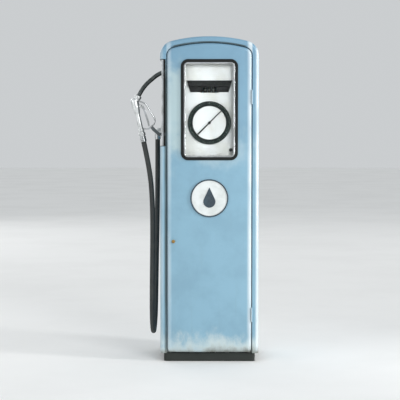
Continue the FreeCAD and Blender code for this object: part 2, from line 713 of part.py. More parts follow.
def make_dial():
    plate_half = max(WINDOW_WIDTH / 2 + BEZEL_WIDTH + PLATE_LAP, POST_X)
    window_low = WINDOW_Z - WINDOW_HEIGHT / 2
    window_high = WINDOW_Z + WINDOW_HEIGHT / 2
    plate_y = (PLATE_FRONT_Y, PLATE_BACK_Y)
    plate = box((-plate_half, plate_half), plate_y, (window_low - PLATE_LAP, window_high + PLATE_LAP))
    arbor_hole = through_plate((0, DIAL_Z), ARBOR_RADIUS + 1)
    slot = box(
        (-COUNTER_WINDOW_WIDTH / 2, COUNTER_WINDOW_WIDTH / 2),
        (PLATE_FRONT_Y - 9, PLATE_BACK_Y + 9),
        (COUNTER_Z - COUNTER_WINDOW_HEIGHT / 2, COUNTER_Z + COUNTER_WINDOW_HEIGHT / 2),
    )
    plate = plate.cut([arbor_hole, slot, through_plate(knob_place(), KNOB_STEM + RUNNING_CLEARANCE)])

    ring_y = PLATE_FRONT_Y - RING_HEIGHT
    ring = pipe((0, ring_y, DIAL_Z), (0, PLATE_FRONT_Y, DIAL_Z), DIAL_RING_RADIUS, DIAL_FACE_RADIUS)
    ring = ring.makeFillet(3, [e for e in ring.Edges if e.BoundBox.YMax < ring_y + 0.1])
    face = rod((0, PLATE_FRONT_Y - FACE_HEIGHT, DIAL_Z), (0, PLATE_FRONT_Y, DIAL_Z), DIAL_FACE_RADIUS)
    price_top = window_high + 4
    price_low = price_top - PRICE_PLATE_HEIGHT - 4
    price_half = WINDOW_WIDTH / 2 + 2
    price_y = (PLATE_FRONT_Y - PRICE_HEIGHT, PLATE_FRONT_Y)
    price = box((-price_half, price_half), price_y, (price_low, price_top))
    return {
        "dial_plate": fuse([plate, price]),
        "dial_ring": ring,
        "dial_face": face.cut(arbor_hole),
        "counter_visor": make_visor(price_low, slot),
        "reset_knob": make_knob(),
    }


def make_visor(top_z, slot):
    """A black mask round the counter's slot; its upper half leans out as a hood with closed ends."""
    low_z = top_z - VISOR_HEIGHT
    middle_z = (top_z + low_z) / 2
    top_half = VISOR_TOP_WIDTH / 2
    foot_half = VISOR_FOOT_WIDTH / 2
    middle_half = (top_half + foot_half) / 2
    mask_y = PLATE_FRONT_Y - MASK_HEIGHT
    outline = [(-top_half, top_z), (top_half, top_z), (foot_half, low_z), (-foot_half, low_z)]
    mask = side_prism(outline, (mask_y, PLATE_FRONT_Y)).cut(slot)
    lip_y = PLATE_FRONT_Y - VISOR_OUT
    lip = [
        Vector(-top_half, mask_y, top_z),
        Vector(top_half, mask_y, top_z),
        Vector(middle_half, lip_y, middle_z),
        Vector(-middle_half, lip_y, middle_z),
    ]
    leaf = Part.Face(Part.makePolygon(lip + lip[:1])).extrude(Vector(0, VISOR_SHEET, 0))
    leaf = leaf.common(box((-top_half, top_half), (lip_y - 1, mask_y), (middle_z - 1, top_z)))
    cheeks = []
    for side in (-1, 1):
        corners = [
            Vector(side * top_half, mask_y, top_z),
            Vector(side * middle_half, lip_y, middle_z),
            Vector(side * middle_half, mask_y, middle_z),
        ]
        cheek = Part.Face(Part.makePolygon(corners + corners[:1]))
        cheeks.append(cheek.extrude(Vector(-side * VISOR_SHEET, 0, 0)))
    return fuse([mask, leaf] + cheeks)


def make_knob():
    x, z = knob_place()
    head = rod((x, PLATE_FRONT_Y - 9, z), (x, PLATE_FRONT_Y, z), KNOB_RADIUS)
    stem = rod((x, PLATE_FRONT_Y, z), (x, PLATE_BACK_Y + 6, z), KNOB_STEM)
    slot = box((x - 1.2, x + 1.2), (PLATE_FRONT_Y - 10, PLATE_FRONT_Y - 6), (z - 20, z + 20))
    return fuse([head, stem]).cut(slot)


def make_pointer():
    """One thin hand over the whole face, on its hub and arbor."""
    y = (PLATE_FRONT_Y - 8.5, PLATE_FRONT_Y - 6.5)
    half = POINTER_LENGTH / 2
    tip = POINTER_TIP_WIDTH / 2
    outline = [
        (-POINTER_WIDTH / 2, DIAL_Z - half),
        (POINTER_WIDTH / 2, DIAL_Z - half),
        (tip, DIAL_Z),
        (tip, DIAL_Z + half),
        (-tip, DIAL_Z + half),
        (-tip, DIAL_Z),
    ]
    hand = side_prism(outline, y)
    hand.rotate(Vector(0, 0, DIAL_Z), Vector(0, 1, 0), POINTER_ANGLE)
    hub = rod((0, PLATE_FRONT_Y - 11, DIAL_Z), (0, PLATE_FRONT_Y - 4, DIAL_Z), HUB_RADIUS)
    hub = hub.makeFillet(2, [e for e in hub.Edges if e.BoundBox.YMax < PLATE_FRONT_Y - 10.9])
    arbor = rod((0, PLATE_FRONT_Y - 5, DIAL_Z), (0, PLATE_BACK_Y + 14, DIAL_Z), ARBOR_RADIUS)
    return fuse([hand, hub, arbor])


def make_counter():
    axis_y = PLATE_BACK_Y + WHEEL_RADIUS + 1.5
    parts = {}
    first = -WHEEL_PITCH * (WHEEL_COUNT - 1) / 2
    span = WHEEL_PITCH * WHEEL_COUNT / 2 + 6
    for number in range(WHEEL_COUNT):
        x = first + number * WHEEL_PITCH
        ends = ((x - WHEEL_WIDTH / 2, axis_y, COUNTER_Z), (x + WHEEL_WIDTH / 2, axis_y, COUNTER_Z))
        wheel = pipe(*ends, WHEEL_RADIUS, AXLE_RADIUS + RUNNING_CLEARANCE)
        parts[f"counter_wheel_{number + 1}"] = wheel
    axle = rod((-span, axis_y, COUNTER_Z), (span, axis_y, COUNTER_Z), AXLE_RADIUS)
    cheeks = []
    for side in (-1, 1):
        xs = sorted((side * span, side * (span + 3)))
        cheeks.append(box(xs, (PLATE_BACK_Y, axis_y + 14), (COUNTER_Z - 16, COUNTER_Z + 16)))
        lug = sorted((side * (span + 3), side * (span + 18)))
        cheeks.append(box(lug, (PLATE_BACK_Y, PLATE_BACK_Y + 3), (COUNTER_Z - 16, COUNTER_Z + 16)))
    parts["counter_frame"] = fuse([axle] + cheeks)
    return parts


def make_gearbox():
    arbor_bore = ARBOR_RADIUS + RUNNING_CLEARANCE
    shaft_bore = METER_SHAFT_RADIUS + RUNNING_CLEARANCE
    arbor = rod((0, PLATE_BACK_Y - 1, DIAL_Z), (0, PLATE_BACK_Y + 16, DIAL_Z), arbor_bore)
    shaft = rod((*METER, GEARBOX_Z[0] - 1), (*METER, GEARBOX_Z[0] + 24), shaft_bore)
    case = box((-GEARBOX_HALF_X, GEARBOX_HALF_X), (PLATE_BACK_Y, GEARBOX_BACK_Y), GEARBOX_Z)
    case = case.makeFillet(8, [e for e in case.Edges if abs(e.tangentAt(e.FirstParameter).y) > 0.99])
    return case.cut([arbor, shaft])


# ---------------------------------------------------------------- inner frame
def post(side_x, side_y):
    x = side_x * POST_X
    y = side_y * POST_Y
    half = POST_SIZE / 2
    outer = box((x - half, x + half), (y - half, y + half), (BASE_FLOOR, POST_TOP))
    hollow = half - POST_WALL
    return outer.cut(box((x - hollow, x + hollow), (y - hollow, y + hollow), (BASE_FLOOR - 1, POST_TOP + 1)))


def make_inner_frame():
    """Four square posts with a ring of bars at each level, welded into one cage."""
    pieces = [post(side_x, side_y) for side_x in (-1, 1) for side_y in (-1, 1)]
    inner_x = POST_X - POST_SIZE / 2
    inner_y = POST_Y - POST_SIZE / 2
    half = RAIL_SIZE / 2
    inside = half - RAIL_WALL
    for top in RAIL_TOPS:
        rail_z = (top - RAIL_SIZE, top)
        hollow_z = (top - RAIL_SIZE - 1, top - RAIL_WALL)
        for side in (-1, 1):
            x = side * POST_X
            y = side * POST_Y
            along_y = box((x - half, x + half), (-inner_y, inner_y), rail_z)
            hollow_y = box((x - inside, x + inside), (-inner_y, inner_y), hollow_z)
            along_x = box((-inner_x, inner_x), (y - half, y + half), rail_z)
            hollow_x = box((-inner_x, inner_x), (y - inside, y + inside), hollow_z)
            pieces += [along_y.cut(hollow_y), along_x.cut(hollow_x)]
    return fuse(pieces)


def make_shelves():
    half_x = POST_X - POST_SIZE / 2
    half_y = POST_Y - POST_SIZE / 2
    pump = box((-half_x, half_x), (-POST_Y, POST_Y), (RAIL_TOPS[0], RAIL_TOPS[0] + SHELF_THICKNESS))
    belt_reach = PUMP_PULLEY_PITCH + 14
    belt_slot = box(
        (PULLEY_X - PULLEY_WIDTH / 2 - 6, PULLEY_X + PULLEY_WIDTH / 2 + 6),
        (DRIVE_Y - belt_reach, DRIVE_Y + belt_reach),
        (0, SEAM_Z),
    )
    suction = rod((*SUCTION, 0), (*SUCTION, SEAM_Z), SUCTION_RADIUS + 2)
    conduit = rod((*CONDUIT, 0), (*CONDUIT, SEAM_Z), CONDUIT_RADIUS + CURVED_GAP)
    riser = rod((*SEPARATOR, 0), (*SEPARATOR, SEAM_Z), PIPE_RADIUS + CURVED_GAP)
    meter = box(
        (-half_x, half_x), (-POST_Y, POST_Y), (RAIL_TOPS[1], RAIL_TOPS[1] + METER_SHELF_THICKNESS)
    )
    return {
        "pump_shelf": pump.cut([belt_slot, suction, conduit]),
        "meter_shelf": meter.cut([riser, conduit]),
    }


# ---------------------------------------------------------------- machinery
def pulley(z, pitch, shaft_end):
    """A grooved pulley with its shaft, turning about X."""
    half = PULLEY_WIDTH / 2
    rim = pitch + BELT_OUT + 2
    wheel = rod((PULLEY_X - half, DRIVE_Y, z), (PULLEY_X + half, DRIVE_Y, z), rim)
    groove_half = BELT_WIDTH / 2 + BELT_CLEARANCE
    floor = pitch - BELT_IN - BELT_CLEARANCE
    groove = pipe((PULLEY_X - groove_half, DRIVE_Y, z), (PULLEY_X + groove_half, DRIVE_Y, z), rim + 1, floor)
    shaft = rod((PULLEY_X - half - 4, DRIVE_Y, z), (shaft_end, DRIVE_Y, z), SHAFT_RADIUS)
    return fuse([wheel.cut(groove), shaft])


def belt_slab(extra, width):
    """The space inside a belt line drawn round both pulleys."""
    motor = MOTOR_PULLEY_PITCH + extra
    pump = PUMP_PULLEY_PITCH + extra
    distance = PUMP_Z - MOTOR_Z
    lean = math.asin((pump - motor) / distance)
    x0 = PULLEY_X - width / 2
    points = []
    for side, z, radius in ((1, MOTOR_Z, motor), (1, PUMP_Z, pump), (-1, PUMP_Z, pump), (-1, MOTOR_Z, motor)):
        points.append(Vector(x0, DRIVE_Y + side * radius * math.cos(lean), z - radius * math.sin(lean)))
    web = Part.Face(Part.makePolygon(points + points[:1])).extrude(Vector(width, 0, 0))
    low = rod((x0, DRIVE_Y, MOTOR_Z), (x0 + width, DRIVE_Y, MOTOR_Z), motor)
    high = rod((x0, DRIVE_Y, PUMP_Z), (x0 + width, DRIVE_Y, PUMP_Z), pump)
    return fuse([web, low, high])


def make_drive():
    belt = belt_slab(BELT_OUT, BELT_WIDTH).cut(belt_slab(-BELT_IN, BELT_WIDTH))
    bore = SHAFT_RADIUS + RUNNING_CLEARANCE
    motor_bore = rod((MOTOR_X[0] - 1, DRIVE_Y, MOTOR_Z), (MOTOR_X[0] + SHAFT_SEAT, DRIVE_Y, MOTOR_Z), bore)
    frame = rod((MOTOR_X[0], DRIVE_Y, MOTOR_Z), (MOTOR_X[1], DRIVE_Y, MOTOR_Z), MOTOR_RADIUS)
    frame = frame.makeFillet(10, [e for e in frame.Edges if e.BoundBox.XLength < 0.01])
    ribs = []
    for index in range(MOTOR_FINS):
        x = MOTOR_X[0] + 30 + index * MOTOR_FIN_PITCH
        ribs.append(rod((x, DRIVE_Y, MOTOR_Z), (x + 4, DRIVE_Y, MOTOR_Z), MOTOR_RADIUS + MOTOR_FIN_REACH))
    rail_y = (-BASE_OPENING_Y / 2 - 24, BASE_OPENING_Y / 2 + 24)
    feet = []
    for x in MOTOR_FEET_X:
        feet.append(box((x, x + MOTOR_FOOT_WIDTH), rail_y, (BASE_FLOOR, BASE_FLOOR + 12)))
        feet.append(box((x, x + MOTOR_FOOT_WIDTH), (DRIVE_Y - 34, DRIVE_Y + 34), (BASE_FLOOR, MOTOR_Z - 30)))
    terminal = box(TERMINAL_X, (DRIVE_Y - 30, DRIVE_Y + 30), (MOTOR_Z + 40, MOTOR_Z + MOTOR_RADIUS + 26))
    motor = fuse([frame] + ribs + feet + [terminal]).cut(motor_bore)

    pump_bore = rod((PUMP_X[0] - 1, DRIVE_Y, PUMP_Z), (PUMP_X[0] + SHAFT_SEAT, DRIVE_Y, PUMP_Z), bore)
    top = RAIL_TOPS[0] + SHELF_THICKNESS
    case_y = (DRIVE_Y - PUMP_HALF_Y, DRIVE_Y + PUMP_HALF_Y)
    case = box((PUMP_X[0] + 12, PUMP_X[1] - 12), case_y, (top, PUMP_Z + PUMP_HALF_Y))
    lengthwise = [e for e in case.Edges if abs(e.tangentAt(e.FirstParameter).x) > 0.99]
    case = case.makeFillet(10, [e for e in lengthwise if e.CenterOfMass.z > top + 1])
    covers = rod((PUMP_X[0], DRIVE_Y, PUMP_Z), (PUMP_X[1], DRIVE_Y, PUMP_Z), PUMP_COVER_RADIUS)
    bolts = []
    for index in range(PUMP_BOLTS):
        angle = 2 * math.pi * (index + 0.5) / PUMP_BOLTS
        y = DRIVE_Y + (PUMP_COVER_RADIUS - 8) * math.cos(angle)
        z = PUMP_Z + (PUMP_COVER_RADIUS - 8) * math.sin(angle)
        bolts.append(rod((PUMP_X[0] - 4, y, z), (PUMP_X[1] + 4, y, z), PUMP_BOLT_RADIUS))
    pump = fuse([case, covers] + bolts).cut(pump_bore)
    return {
        "motor": motor,
        "motor_pulley": pulley(MOTOR_Z, MOTOR_PULLEY_PITCH, MOTOR_X[0] + SHAFT_SEAT - 2),
        "pump_unit": pump,
        "pump_pulley": pulley(PUMP_Z, PUMP_PULLEY_PITCH, PUMP_X[0] + SHAFT_SEAT - 2),
        "v_belt": belt,
    }


def make_separator():
    """The air separator: an upright tank on the shelf with a domed lid and a vent cap."""
    foot = RAIL_TOPS[0] + SHELF_THICKNESS
    tank = rod((*SEPARATOR, foot), (*SEPARATOR, SEPARATOR_TOP), SEPARATOR_RADIUS - 4)
    tank = tank.makeFillet(14, [e for e in tank.Edges if e.CenterOfMass.z > SEPARATOR_TOP - 1])
    lid_z = SEPARATOR_TOP - 40
    flange = rod((*SEPARATOR, lid_z), (*SEPARATOR, lid_z + 12), SEPARATOR_RADIUS)
    foot_ring = rod((*SEPARATOR, foot), (*SEPARATOR, foot + 8), SEPARATOR_RADIUS)
    return fuse([tank, flange, foot_ring])


def make_meter():
    """A four-piston meter: a drum with four round cylinder heads and its output shaft on top."""
    x, y = METER
    foot = RAIL_TOPS[1] + METER_SHELF_THICKNESS
    drum = rod((x, y, foot + 10), (x, y, METER_FOOT_Z + METER_HEIGHT), METER_RADIUS)
    foot_plate = rod((x, y, foot), (x, y, foot + 12), METER_RADIUS - 14)
    middle_z = METER_FOOT_Z + METER_HEIGHT / 2 + 4
    heads = []
    for dx, dy in ((1, 0), (-1, 0), (0, 1), (0, -1)):
        reach = METER_BOSS_REACH
        end = (x + dx * reach, y + dy * reach, middle_z)
        cap = (x + dx * (reach + 8), y + dy * (reach + 8), middle_z)
        heads.append(rod((x, y, middle_z), end, METER_BOSS_RADIUS - 4))
        heads.append(rod(end, cap, METER_BOSS_RADIUS))
    top = METER_FOOT_Z + METER_HEIGHT
    collar = rod((x, y, top - 1), (x, y, top + 14), 16)
    bore = rod((x, y, top - 20), (x, y, top + 20), METER_SHAFT_RADIUS + RUNNING_CLEARANCE)
    shaft = rod((x, y, top - 18), (x, y, GEARBOX_Z[0] + 22), METER_SHAFT_RADIUS)
    couplings = []
    for z in (top + 30, GEARBOX_Z[0] - 40):
        couplings.append(rod((x, y, z), (x, y, z + METER_COUPLING[1]), METER_COUPLING[0]))
    shaft = fuse([shaft] + couplings)
    return fuse([drum, foot_plate, collar] + heads).cut(bore), shaft


def make_pipes(pump, separator, meter):
    """Suction into the pump from below, pump to separator, separator to meter and meter to outlet."""
    x, y = SUCTION
    foot = BASE_FLOOR + 2
    outer = square_elbow((x, y, foot), (x, y, PUMP_Z), (x, DRIVE_Y, PUMP_Z), SUCTION_RADIUS)
    inner = square_elbow((x, y, foot - 1), (x, y, PUMP_Z), (x, DRIVE_Y, PUMP_Z), SUCTION_BORE)
    socket = rod((x, y, foot - 1), (x, y, foot + SUCTION_SOCKET_LENGTH), SUCTION_SOCKET)
    suction = outer.cut([inner, socket]).cut(pump)
    sx, sy = SEPARATOR
    rise_x = PUMP_X[0] + 40
    cross_z = SEPARATOR_TOP - 42
    transfer = square_elbow((rise_x, sy, PUMP_Z), (rise_x, sy, cross_z), (sx, sy, cross_z), PIPE_RADIUS)
    transfer = transfer.cut([pump, separator])
    entry_z = METER_FOOT_Z + METER_HEIGHT - 22
    foot_z = SEPARATOR_TOP - 30
    riser = square_elbow((sx, sy, foot_z), (sx, sy, entry_z), (METER[0], sy, entry_z), PIPE_RADIUS)
    riser = riser.cut([separator, meter])
    top = METER_FOOT_Z + METER_HEIGHT
    start = (METER[0] + DELIVERY_OFFSET[0], METER[1] + DELIVERY_OFFSET[1])
    climb = [
        (*start, top),
        (*start, top + 220),
        (start[0], OUTLET_Y, top + 310),
        (start[0], OUTLET_Y, OUTLET_Z - 110),
        (start[0] - 40, OUTLET_Y, OUTLET_Z),
        (-HALF_WIDTH, OUTLET_Y, OUTLET_Z),
    ]
    delivery = bent_bar(climb, PIPE_RADIUS)
    return {"suction_pipe": suction, "separator_pipes": group([transfer, riser]), "delivery_pipe": delivery}


def make_conduit():
    """The cable conduit with its junction box on the front right post."""
    x, y = CONDUIT
    post_face = POST_X - POST_SIZE / 2
    tube = pipe((x, y, 2), (x, y, CONDUIT_TOP), CONDUIT_RADIUS, CONDUIT_BORE)
    outer = box((x - 27, post_face), (y - 40, y + 30), (CONDUIT_TOP, CONDUIT_TOP + 90))
    return {"conduit": tube, "junction_box": outer}


# ---------------------------------------------------------------- nozzle recess
def make_pocket():
    """The folded recess in the left side, open to the side and, beside the door, to the front."""
    z = POCKET_Z
    s = POCKET_SHEET
    frame_back = FRONT_Y + REBATE_DEPTH + SHEET
    outer_x = (-HALF_WIDTH, POCKET_BACK_X)
    walls = [
        box((POCKET_BACK_X - s, POCKET_BACK_X), (frame_back, POCKET_END_Y), z),
        box(outer_x, (POCKET_END_Y - s, POCKET_END_Y), z),
        box((-OPENING_HALF - SHEET, POCKET_BACK_X), (frame_back, frame_back + s), z),
        box(outer_x, (frame_back, POCKET_END_Y), (z[0], z[0] + s)),
        box(outer_x, (frame_back, POCKET_END_Y), (z[1] - s, z[1])),
    ]
    tongue_x = (-HALF_WIDTH, -OPENING_HALF - SHEET)
    for low in (z[0], z[1] - s):
        walls.append(box(tongue_x, (FRONT_Y + RIM_ROLL / 2, frame_back), (low, low + s)))
    lever_pin = rod((POCKET_BACK_X - s - 16, LEVER_Y, LEVER_Z), (POCKET_BACK_X - s, LEVER_Y, LEVER_Z), 5)
    head = rod((POCKET_BACK_X - s - 18, LEVER_Y, LEVER_Z), (POCKET_BACK_X - s - 15, LEVER_Y, LEVER_Z), 9)
    return fuse(walls + [lever_pin, head])


def make_lever():
    """The switch lever, hanging on its pin on the recess's back wall."""
    x1 = POCKET_BACK_X - POCKET_SHEET - CURVED_GAP
    x0 = POCKET_BACK_X - POCKET_SHEET - 15 + CURVED_GAP
    hub = rod((x0, LEVER_Y, LEVER_Z), (x1, LEVER_Y, LEVER_Z), LEVER_HUB_RADIUS)
    arm = box((x0 + 3, x1 - 3), (LEVER_Y - 7, LEVER_Y + 7), (LEVER_Z - LEVER_LENGTH, LEVER_Z))
    grip = rod((x0 - 24, LEVER_Y, LEVER_Z - LEVER_LENGTH), (x1 - 2, LEVER_Y, LEVER_Z - LEVER_LENGTH), 9)
    bore = rod((x0 - 30, LEVER_Y, LEVER_Z), (x1 + 1, LEVER_Y, LEVER_Z), 5 + RUNNING_CLEARANCE)
    return fuse([hub, arm, grip]).cut(bore)


def make_strip():
    y = (FRONT_Y + RIM_ROLL / 2, FRONT_Y + RIM_ROLL / 2 + STRIP_THICKNESS)
    z = (POCKET_Z[0] + POCKET_SHEET, POCKET_Z[1] - POCKET_SHEET)
    return box(STRIP_X, y, z)


# ---------------------------------------------------------------- nozzle
def in_plane(point):
    return (point[0], NOZZLE_Y, point[1])


def grip_direction():
    length = math.dist(GRIP_FOOT, GRIP_HEAD)
    return ((GRIP_HEAD[0] - GRIP_FOOT[0]) / length, (GRIP_HEAD[1] - GRIP_FOOT[1]) / length)


def on_grip(distance):
    ux, uz = grip_direction()
    return (GRIP_FOOT[0] + ux * distance, NOZZLE_Y, GRIP_FOOT[1] + uz * distance)


def make_nozzle():
    length = math.dist(GRIP_FOOT, GRIP_HEAD)
    stub_low = FERRULE_LENGTH + SWIVEL_LENGTH
    spout = bent_bar([in_plane(p) for p in SPOUT_ROUTE], SPOUT_RADIUS)
    bore = bent_bar([in_plane(p) for p in SPOUT_ROUTE], SPOUT_RADIUS - SPOUT_WALL)
    first = Vector(*in_plane(SPOUT_ROUTE[0]))
    second = Vector(*in_plane(SPOUT_ROUTE[1]))
    neck_way = (second - first).normalize()
    neck_end = first + neck_way * NECK_LENGTH
    ux, uz = grip_direction()
    grip = rod(on_grip(stub_low), on_grip(length), GRIP_RADIUS)
    swell = Part.makeCone(GRIP_RADIUS, VALVE_RADIUS, 34, Vector(*on_grip(length - 62)), Vector(ux, 0, uz))
    valve = rod(on_grip(length - 28), on_grip(length + 8), VALVE_RADIUS)
    dome = Part.makeSphere(VALVE_RADIUS, Vector(*on_grip(length + 8)))
    neck = rod(tuple(first - neck_way * 6), tuple(neck_end), SPOUT_RADIUS + 5)
    nut = rod(tuple(neck_end - neck_way * 14), tuple(neck_end), SPOUT_RADIUS + 7)
    collar = rod(on_grip(stub_low), on_grip(stub_low + 14), GRIP_RADIUS + 3)
    px, pz = TRIGGER_PIVOT
    ears = []
    for side in (-1, 1):
        near = TRIGGER_THICKNESS / 2 + CURVED_GAP
        ys = sorted((NOZZLE_Y + side * near, NOZZLE_Y + side * (near + 4)))
        ears.append(rod((px, ys[0], pz), (px, ys[1], pz), 8))
        ears.append(side_prism([(px - 14, pz - 8), (px, pz - 8), (px, pz + 8), (px - 14, pz + 8)], ys))
    slot_half = TRIGGER_THICKNESS / 2 + CURVED_GAP
    slot = box((px - 12, px + 14), (NOZZLE_Y - slot_half, NOZZLE_Y + slot_half), (pz - 13, pz + 12))
    pin_bore = rod((px, NOZZLE_Y - 20, pz), (px, NOZZLE_Y + 20, pz), TRIGGER_PIN_RADIUS)
    body = fuse([grip, swell, valve, dome, neck, nut, collar] + ears)
    spout = spout.cut(bore)
    before = tuple(first - neck_way * 20)
    seat = tuple(first + neck_way * 12)
    spout = spout.cut(rod(before, seat, SPOUT_RADIUS + 1))
    spout_seat = rod(seat, tuple(neck_end), SPOUT_RADIUS)
    swivel_bore = rod(on_grip(stub_low - 1), on_grip(stub_low + 12), SWIVEL_STUB + RUNNING_CLEARANCE)
    body = body.cut([slot, pin_bore, spout_seat, swivel_bore])

    guard = bent_bar([in_plane(p) for p in GUARD_ROUTE], GUARD_RADIUS).cut(body)
    guard = max(guard.Solids, key=lambda solid: solid.Volume)

    lever = side_prism(
        [
            (px - 6, pz + 6),
            (px + 6, pz + 7),
            (px + 16, pz - 16),
            (px + 38, pz - 84),
            (px + 41, pz - 106),
            (px + 34, pz - 109),
            (px + 28, pz - 86),
            (px + 6, pz - 20),
            (px - 6, pz - 6),
        ],
        (NOZZLE_Y - TRIGGER_THICKNESS / 2, NOZZLE_Y + TRIGGER_THICKNESS / 2),
    )
    lever_bore = TRIGGER_PIN_RADIUS + RUNNING_CLEARANCE
    lever = lever.cut(rod((px, NOZZLE_Y - 20, pz), (px, NOZZLE_Y + 20, pz), lever_bore))
    pin_reach = TRIGGER_THICKNESS / 2 + CURVED_GAP + 5
    pin = rod((px, NOZZLE_Y - pin_reach, pz), (px, NOZZLE_Y + pin_reach, pz), TRIGGER_PIN_RADIUS)

    ferrule = rod(on_grip(0), on_grip(FERRULE_LENGTH - 6), FERRULE_RADIUS)
    ferrule = fuse([ferrule, rod(on_grip(FERRULE_LENGTH - 8), on_grip(FERRULE_LENGTH), FERRULE_RADIUS - 3)])
    swivel = fuse(
        [
            rod(on_grip(FERRULE_LENGTH), on_grip(stub_low - CURVED_GAP), SWIVEL_RADIUS - 4),
            rod(on_grip(FERRULE_LENGTH + 4), on_grip(stub_low - 6), SWIVEL_RADIUS),
            rod(on_grip(stub_low - 2), on_grip(stub_low + 10), SWIVEL_STUB),
        ]
    )
    return {
        "nozzle_body": body,
        "nozzle_spout": spout,
        "nozzle_guard": guard,
        "nozzle_trigger": lever,
        "trigger_pin": pin,
        "nozzle_ferrule": ferrule,
        "nozzle_swivel": swivel,
    }


def make_supports():
    """The fork under the spout and the rest under the trigger guard, both on the recess's back wall."""
    back = POCKET_BACK_X - POCKET_SHEET
    start = SPOUT_ROUTE[-2]
    end = SPOUT_ROUTE[-1]
    slope = (end[1] - start[1]) / (end[0] - start[0])
    fork_x = FORK_X
    centre_z = start[1] + slope * (fork_x[0] - start[0])
    half = FORK_HALF
    plate = box(fork_x, (NOZZLE_Y - half, NOZZLE_Y + half), (centre_z - 34, centre_z + 12))
    slot_half = SPOUT_RADIUS + 1
    mouth_y = (NOZZLE_Y - slot_half, NOZZLE_Y + slot_half)
    mouth = box((fork_x[0] - 1, fork_x[1] + 1), mouth_y, (centre_z, centre_z + 40))
    way = Vector(end[0] - start[0], 0, end[1] - start[1]).normalize()
    seat_foot = Vector(fork_x[0], NOZZLE_Y, centre_z) - way * 30
    seat = Part.makeCylinder(SPOUT_RADIUS + CURVED_GAP, 60, seat_foot, way)
    arm_z = (centre_z - 34, centre_z - 26)
    arm = box((fork_x[1] - 1, back), (NOZZLE_Y - half, NOZZLE_Y + half), arm_z)
    foot = box((back - 4, back), (NOZZLE_Y - half, NOZZLE_Y + half), (arm_z[0] - 24, arm_z[1]))
    holster = fuse([plate.cut([mouth, seat]), arm, foot])

    corner = Vector(GUARD_ROUTE[2][0], 0, GUARD_ROUTE[2][1])
    run = (Vector(GUARD_ROUTE[3][0], 0, GUARD_ROUTE[3][1]) - corner).normalize()
    out = Vector(-run.z, 0, run.x)
    if out.z > 0:
        out = out * -1
    seat_high = corner + run * 30 + out * (GUARD_RADIUS + CURVED_GAP)
    seat_low = corner + run * 46 + out * (GUARD_RADIUS + CURVED_GAP)
    arm_low, arm_high = REST_Z
    profile = [
        (back, arm_low),
        (back, arm_high),
        (LEFT - 6, arm_high),
        (seat_high.x + 5, seat_high.z - 6),
        (seat_high.x, seat_high.z),
        (seat_low.x, seat_low.z),
        (seat_low.x + 8, seat_low.z - 12),
        (LEFT - 12, arm_low),
    ]
    rest = side_prism(profile, (NOZZLE_Y - 5, NOZZLE_Y + 5))
    rest_foot = box((back - 4, back), (NOZZLE_Y - 20, NOZZLE_Y + 20), (arm_low - 14, arm_high + 14))
    return {"nozzle_holster": holster, "nozzle_rest": fuse([rest, rest_foot])}


# ---------------------------------------------------------------- hose and its outlet
def make_outlet():
    """The elbow on its flange, and the ferrule that holds the hose below it."""
    face = (LEFT, OUTLET_Y, OUTLET_Z)
    corner = (LEFT - OUTLET_DROP, OUTLET_Y, OUTLET_Z)
    ferrule_foot = (corner[0], OUTLET_Y, OUTLET_FERRULE_FOOT + CURVED_GAP)
    ferrule_top = (corner[0], OUTLET_Y, ferrule_foot[2] + OUTLET_FERRULE_LENGTH)
    elbow = square_elbow(face, corner, ferrule_top, PIPE_RADIUS + 2)
    flange = rod(face, (LEFT - 6, OUTLET_Y, OUTLET_Z), OUTLET_FLANGE_RADIUS)
    nut = rod((LEFT - 6, OUTLET_Y, OUTLET_Z), (LEFT - 9, OUTLET_Y, OUTLET_Z), 20)
    ferrule = rod(ferrule_foot, ferrule_top, FERRULE_RADIUS)
    return {"outlet_elbow": fuse([elbow, flange, nut]), "outlet_ferrule": ferrule}


def make_hose():
    path, radii = route_path(HOSE_ROUTE)
    first = Vector(*HOSE_ROUTE[0])
    ring = Part.Wire([Part.makeCircle(HOSE_DIAMETER / 2, first, Vector(*HOSE_ROUTE[1]) - first)])
    hose = path.makePipeShell([ring], True, False)
    expected = math.pi * HOSE_DIAMETER**2 / 4 * path.Length
    print("hose length", round(path.Length), "volume share", round(hose.Volume / expected, 4))
    print("hose radii", [round(r) for r in radii])
    return hose


def main():
    os.makedirs("parts", exist_ok=True)
    parts = {"base_casting": make_base()}
    parts.update(make_casings())
    parts.update(make_opening_frames())
    parts.update(make_front_door())
    parts["rear_panel"], parts["rear_panel_screws"] = make_rear_panel()
    parts.update(make_dial())
    parts["pointer"] = make_pointer()
    parts.update(make_counter())
    parts["register_gearbox"] = make_gearbox()
    parts["inner_frame"] = make_inner_frame()
    parts.update(make_shelves())
    parts.update(make_drive())
    parts["air_separator"] = make_separator()
    parts["meter"], parts["meter_shaft"] = make_meter()
    parts.update(make_pipes(parts["pump_unit"], parts["air_separator"], parts["meter"]))
    parts.update(make_conduit())
    parts["nozzle_pocket"] = make_pocket()
    parts["switch_lever"] = make_lever()
    parts["pocket_strip"] = make_strip()
    parts.update(make_nozzle())
    parts.update(make_supports())
    parts.update(make_outlet())
    parts["hose"] = make_hose()
    for name, shape in sorted(parts.items()):
        solids = shape.Solids
        good = shape.isValid() and len(solids) >= 1
        print(name, "solids", len(solids), "" if good else "BAD")
        shape = solids[0] if len(solids) == 1 else Part.makeCompound(solids)
        shape.exportStep(f"parts/{name}.step")
    print(len(parts), "nodes")


main()
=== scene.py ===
import json
import math
from contextlib import contextmanager

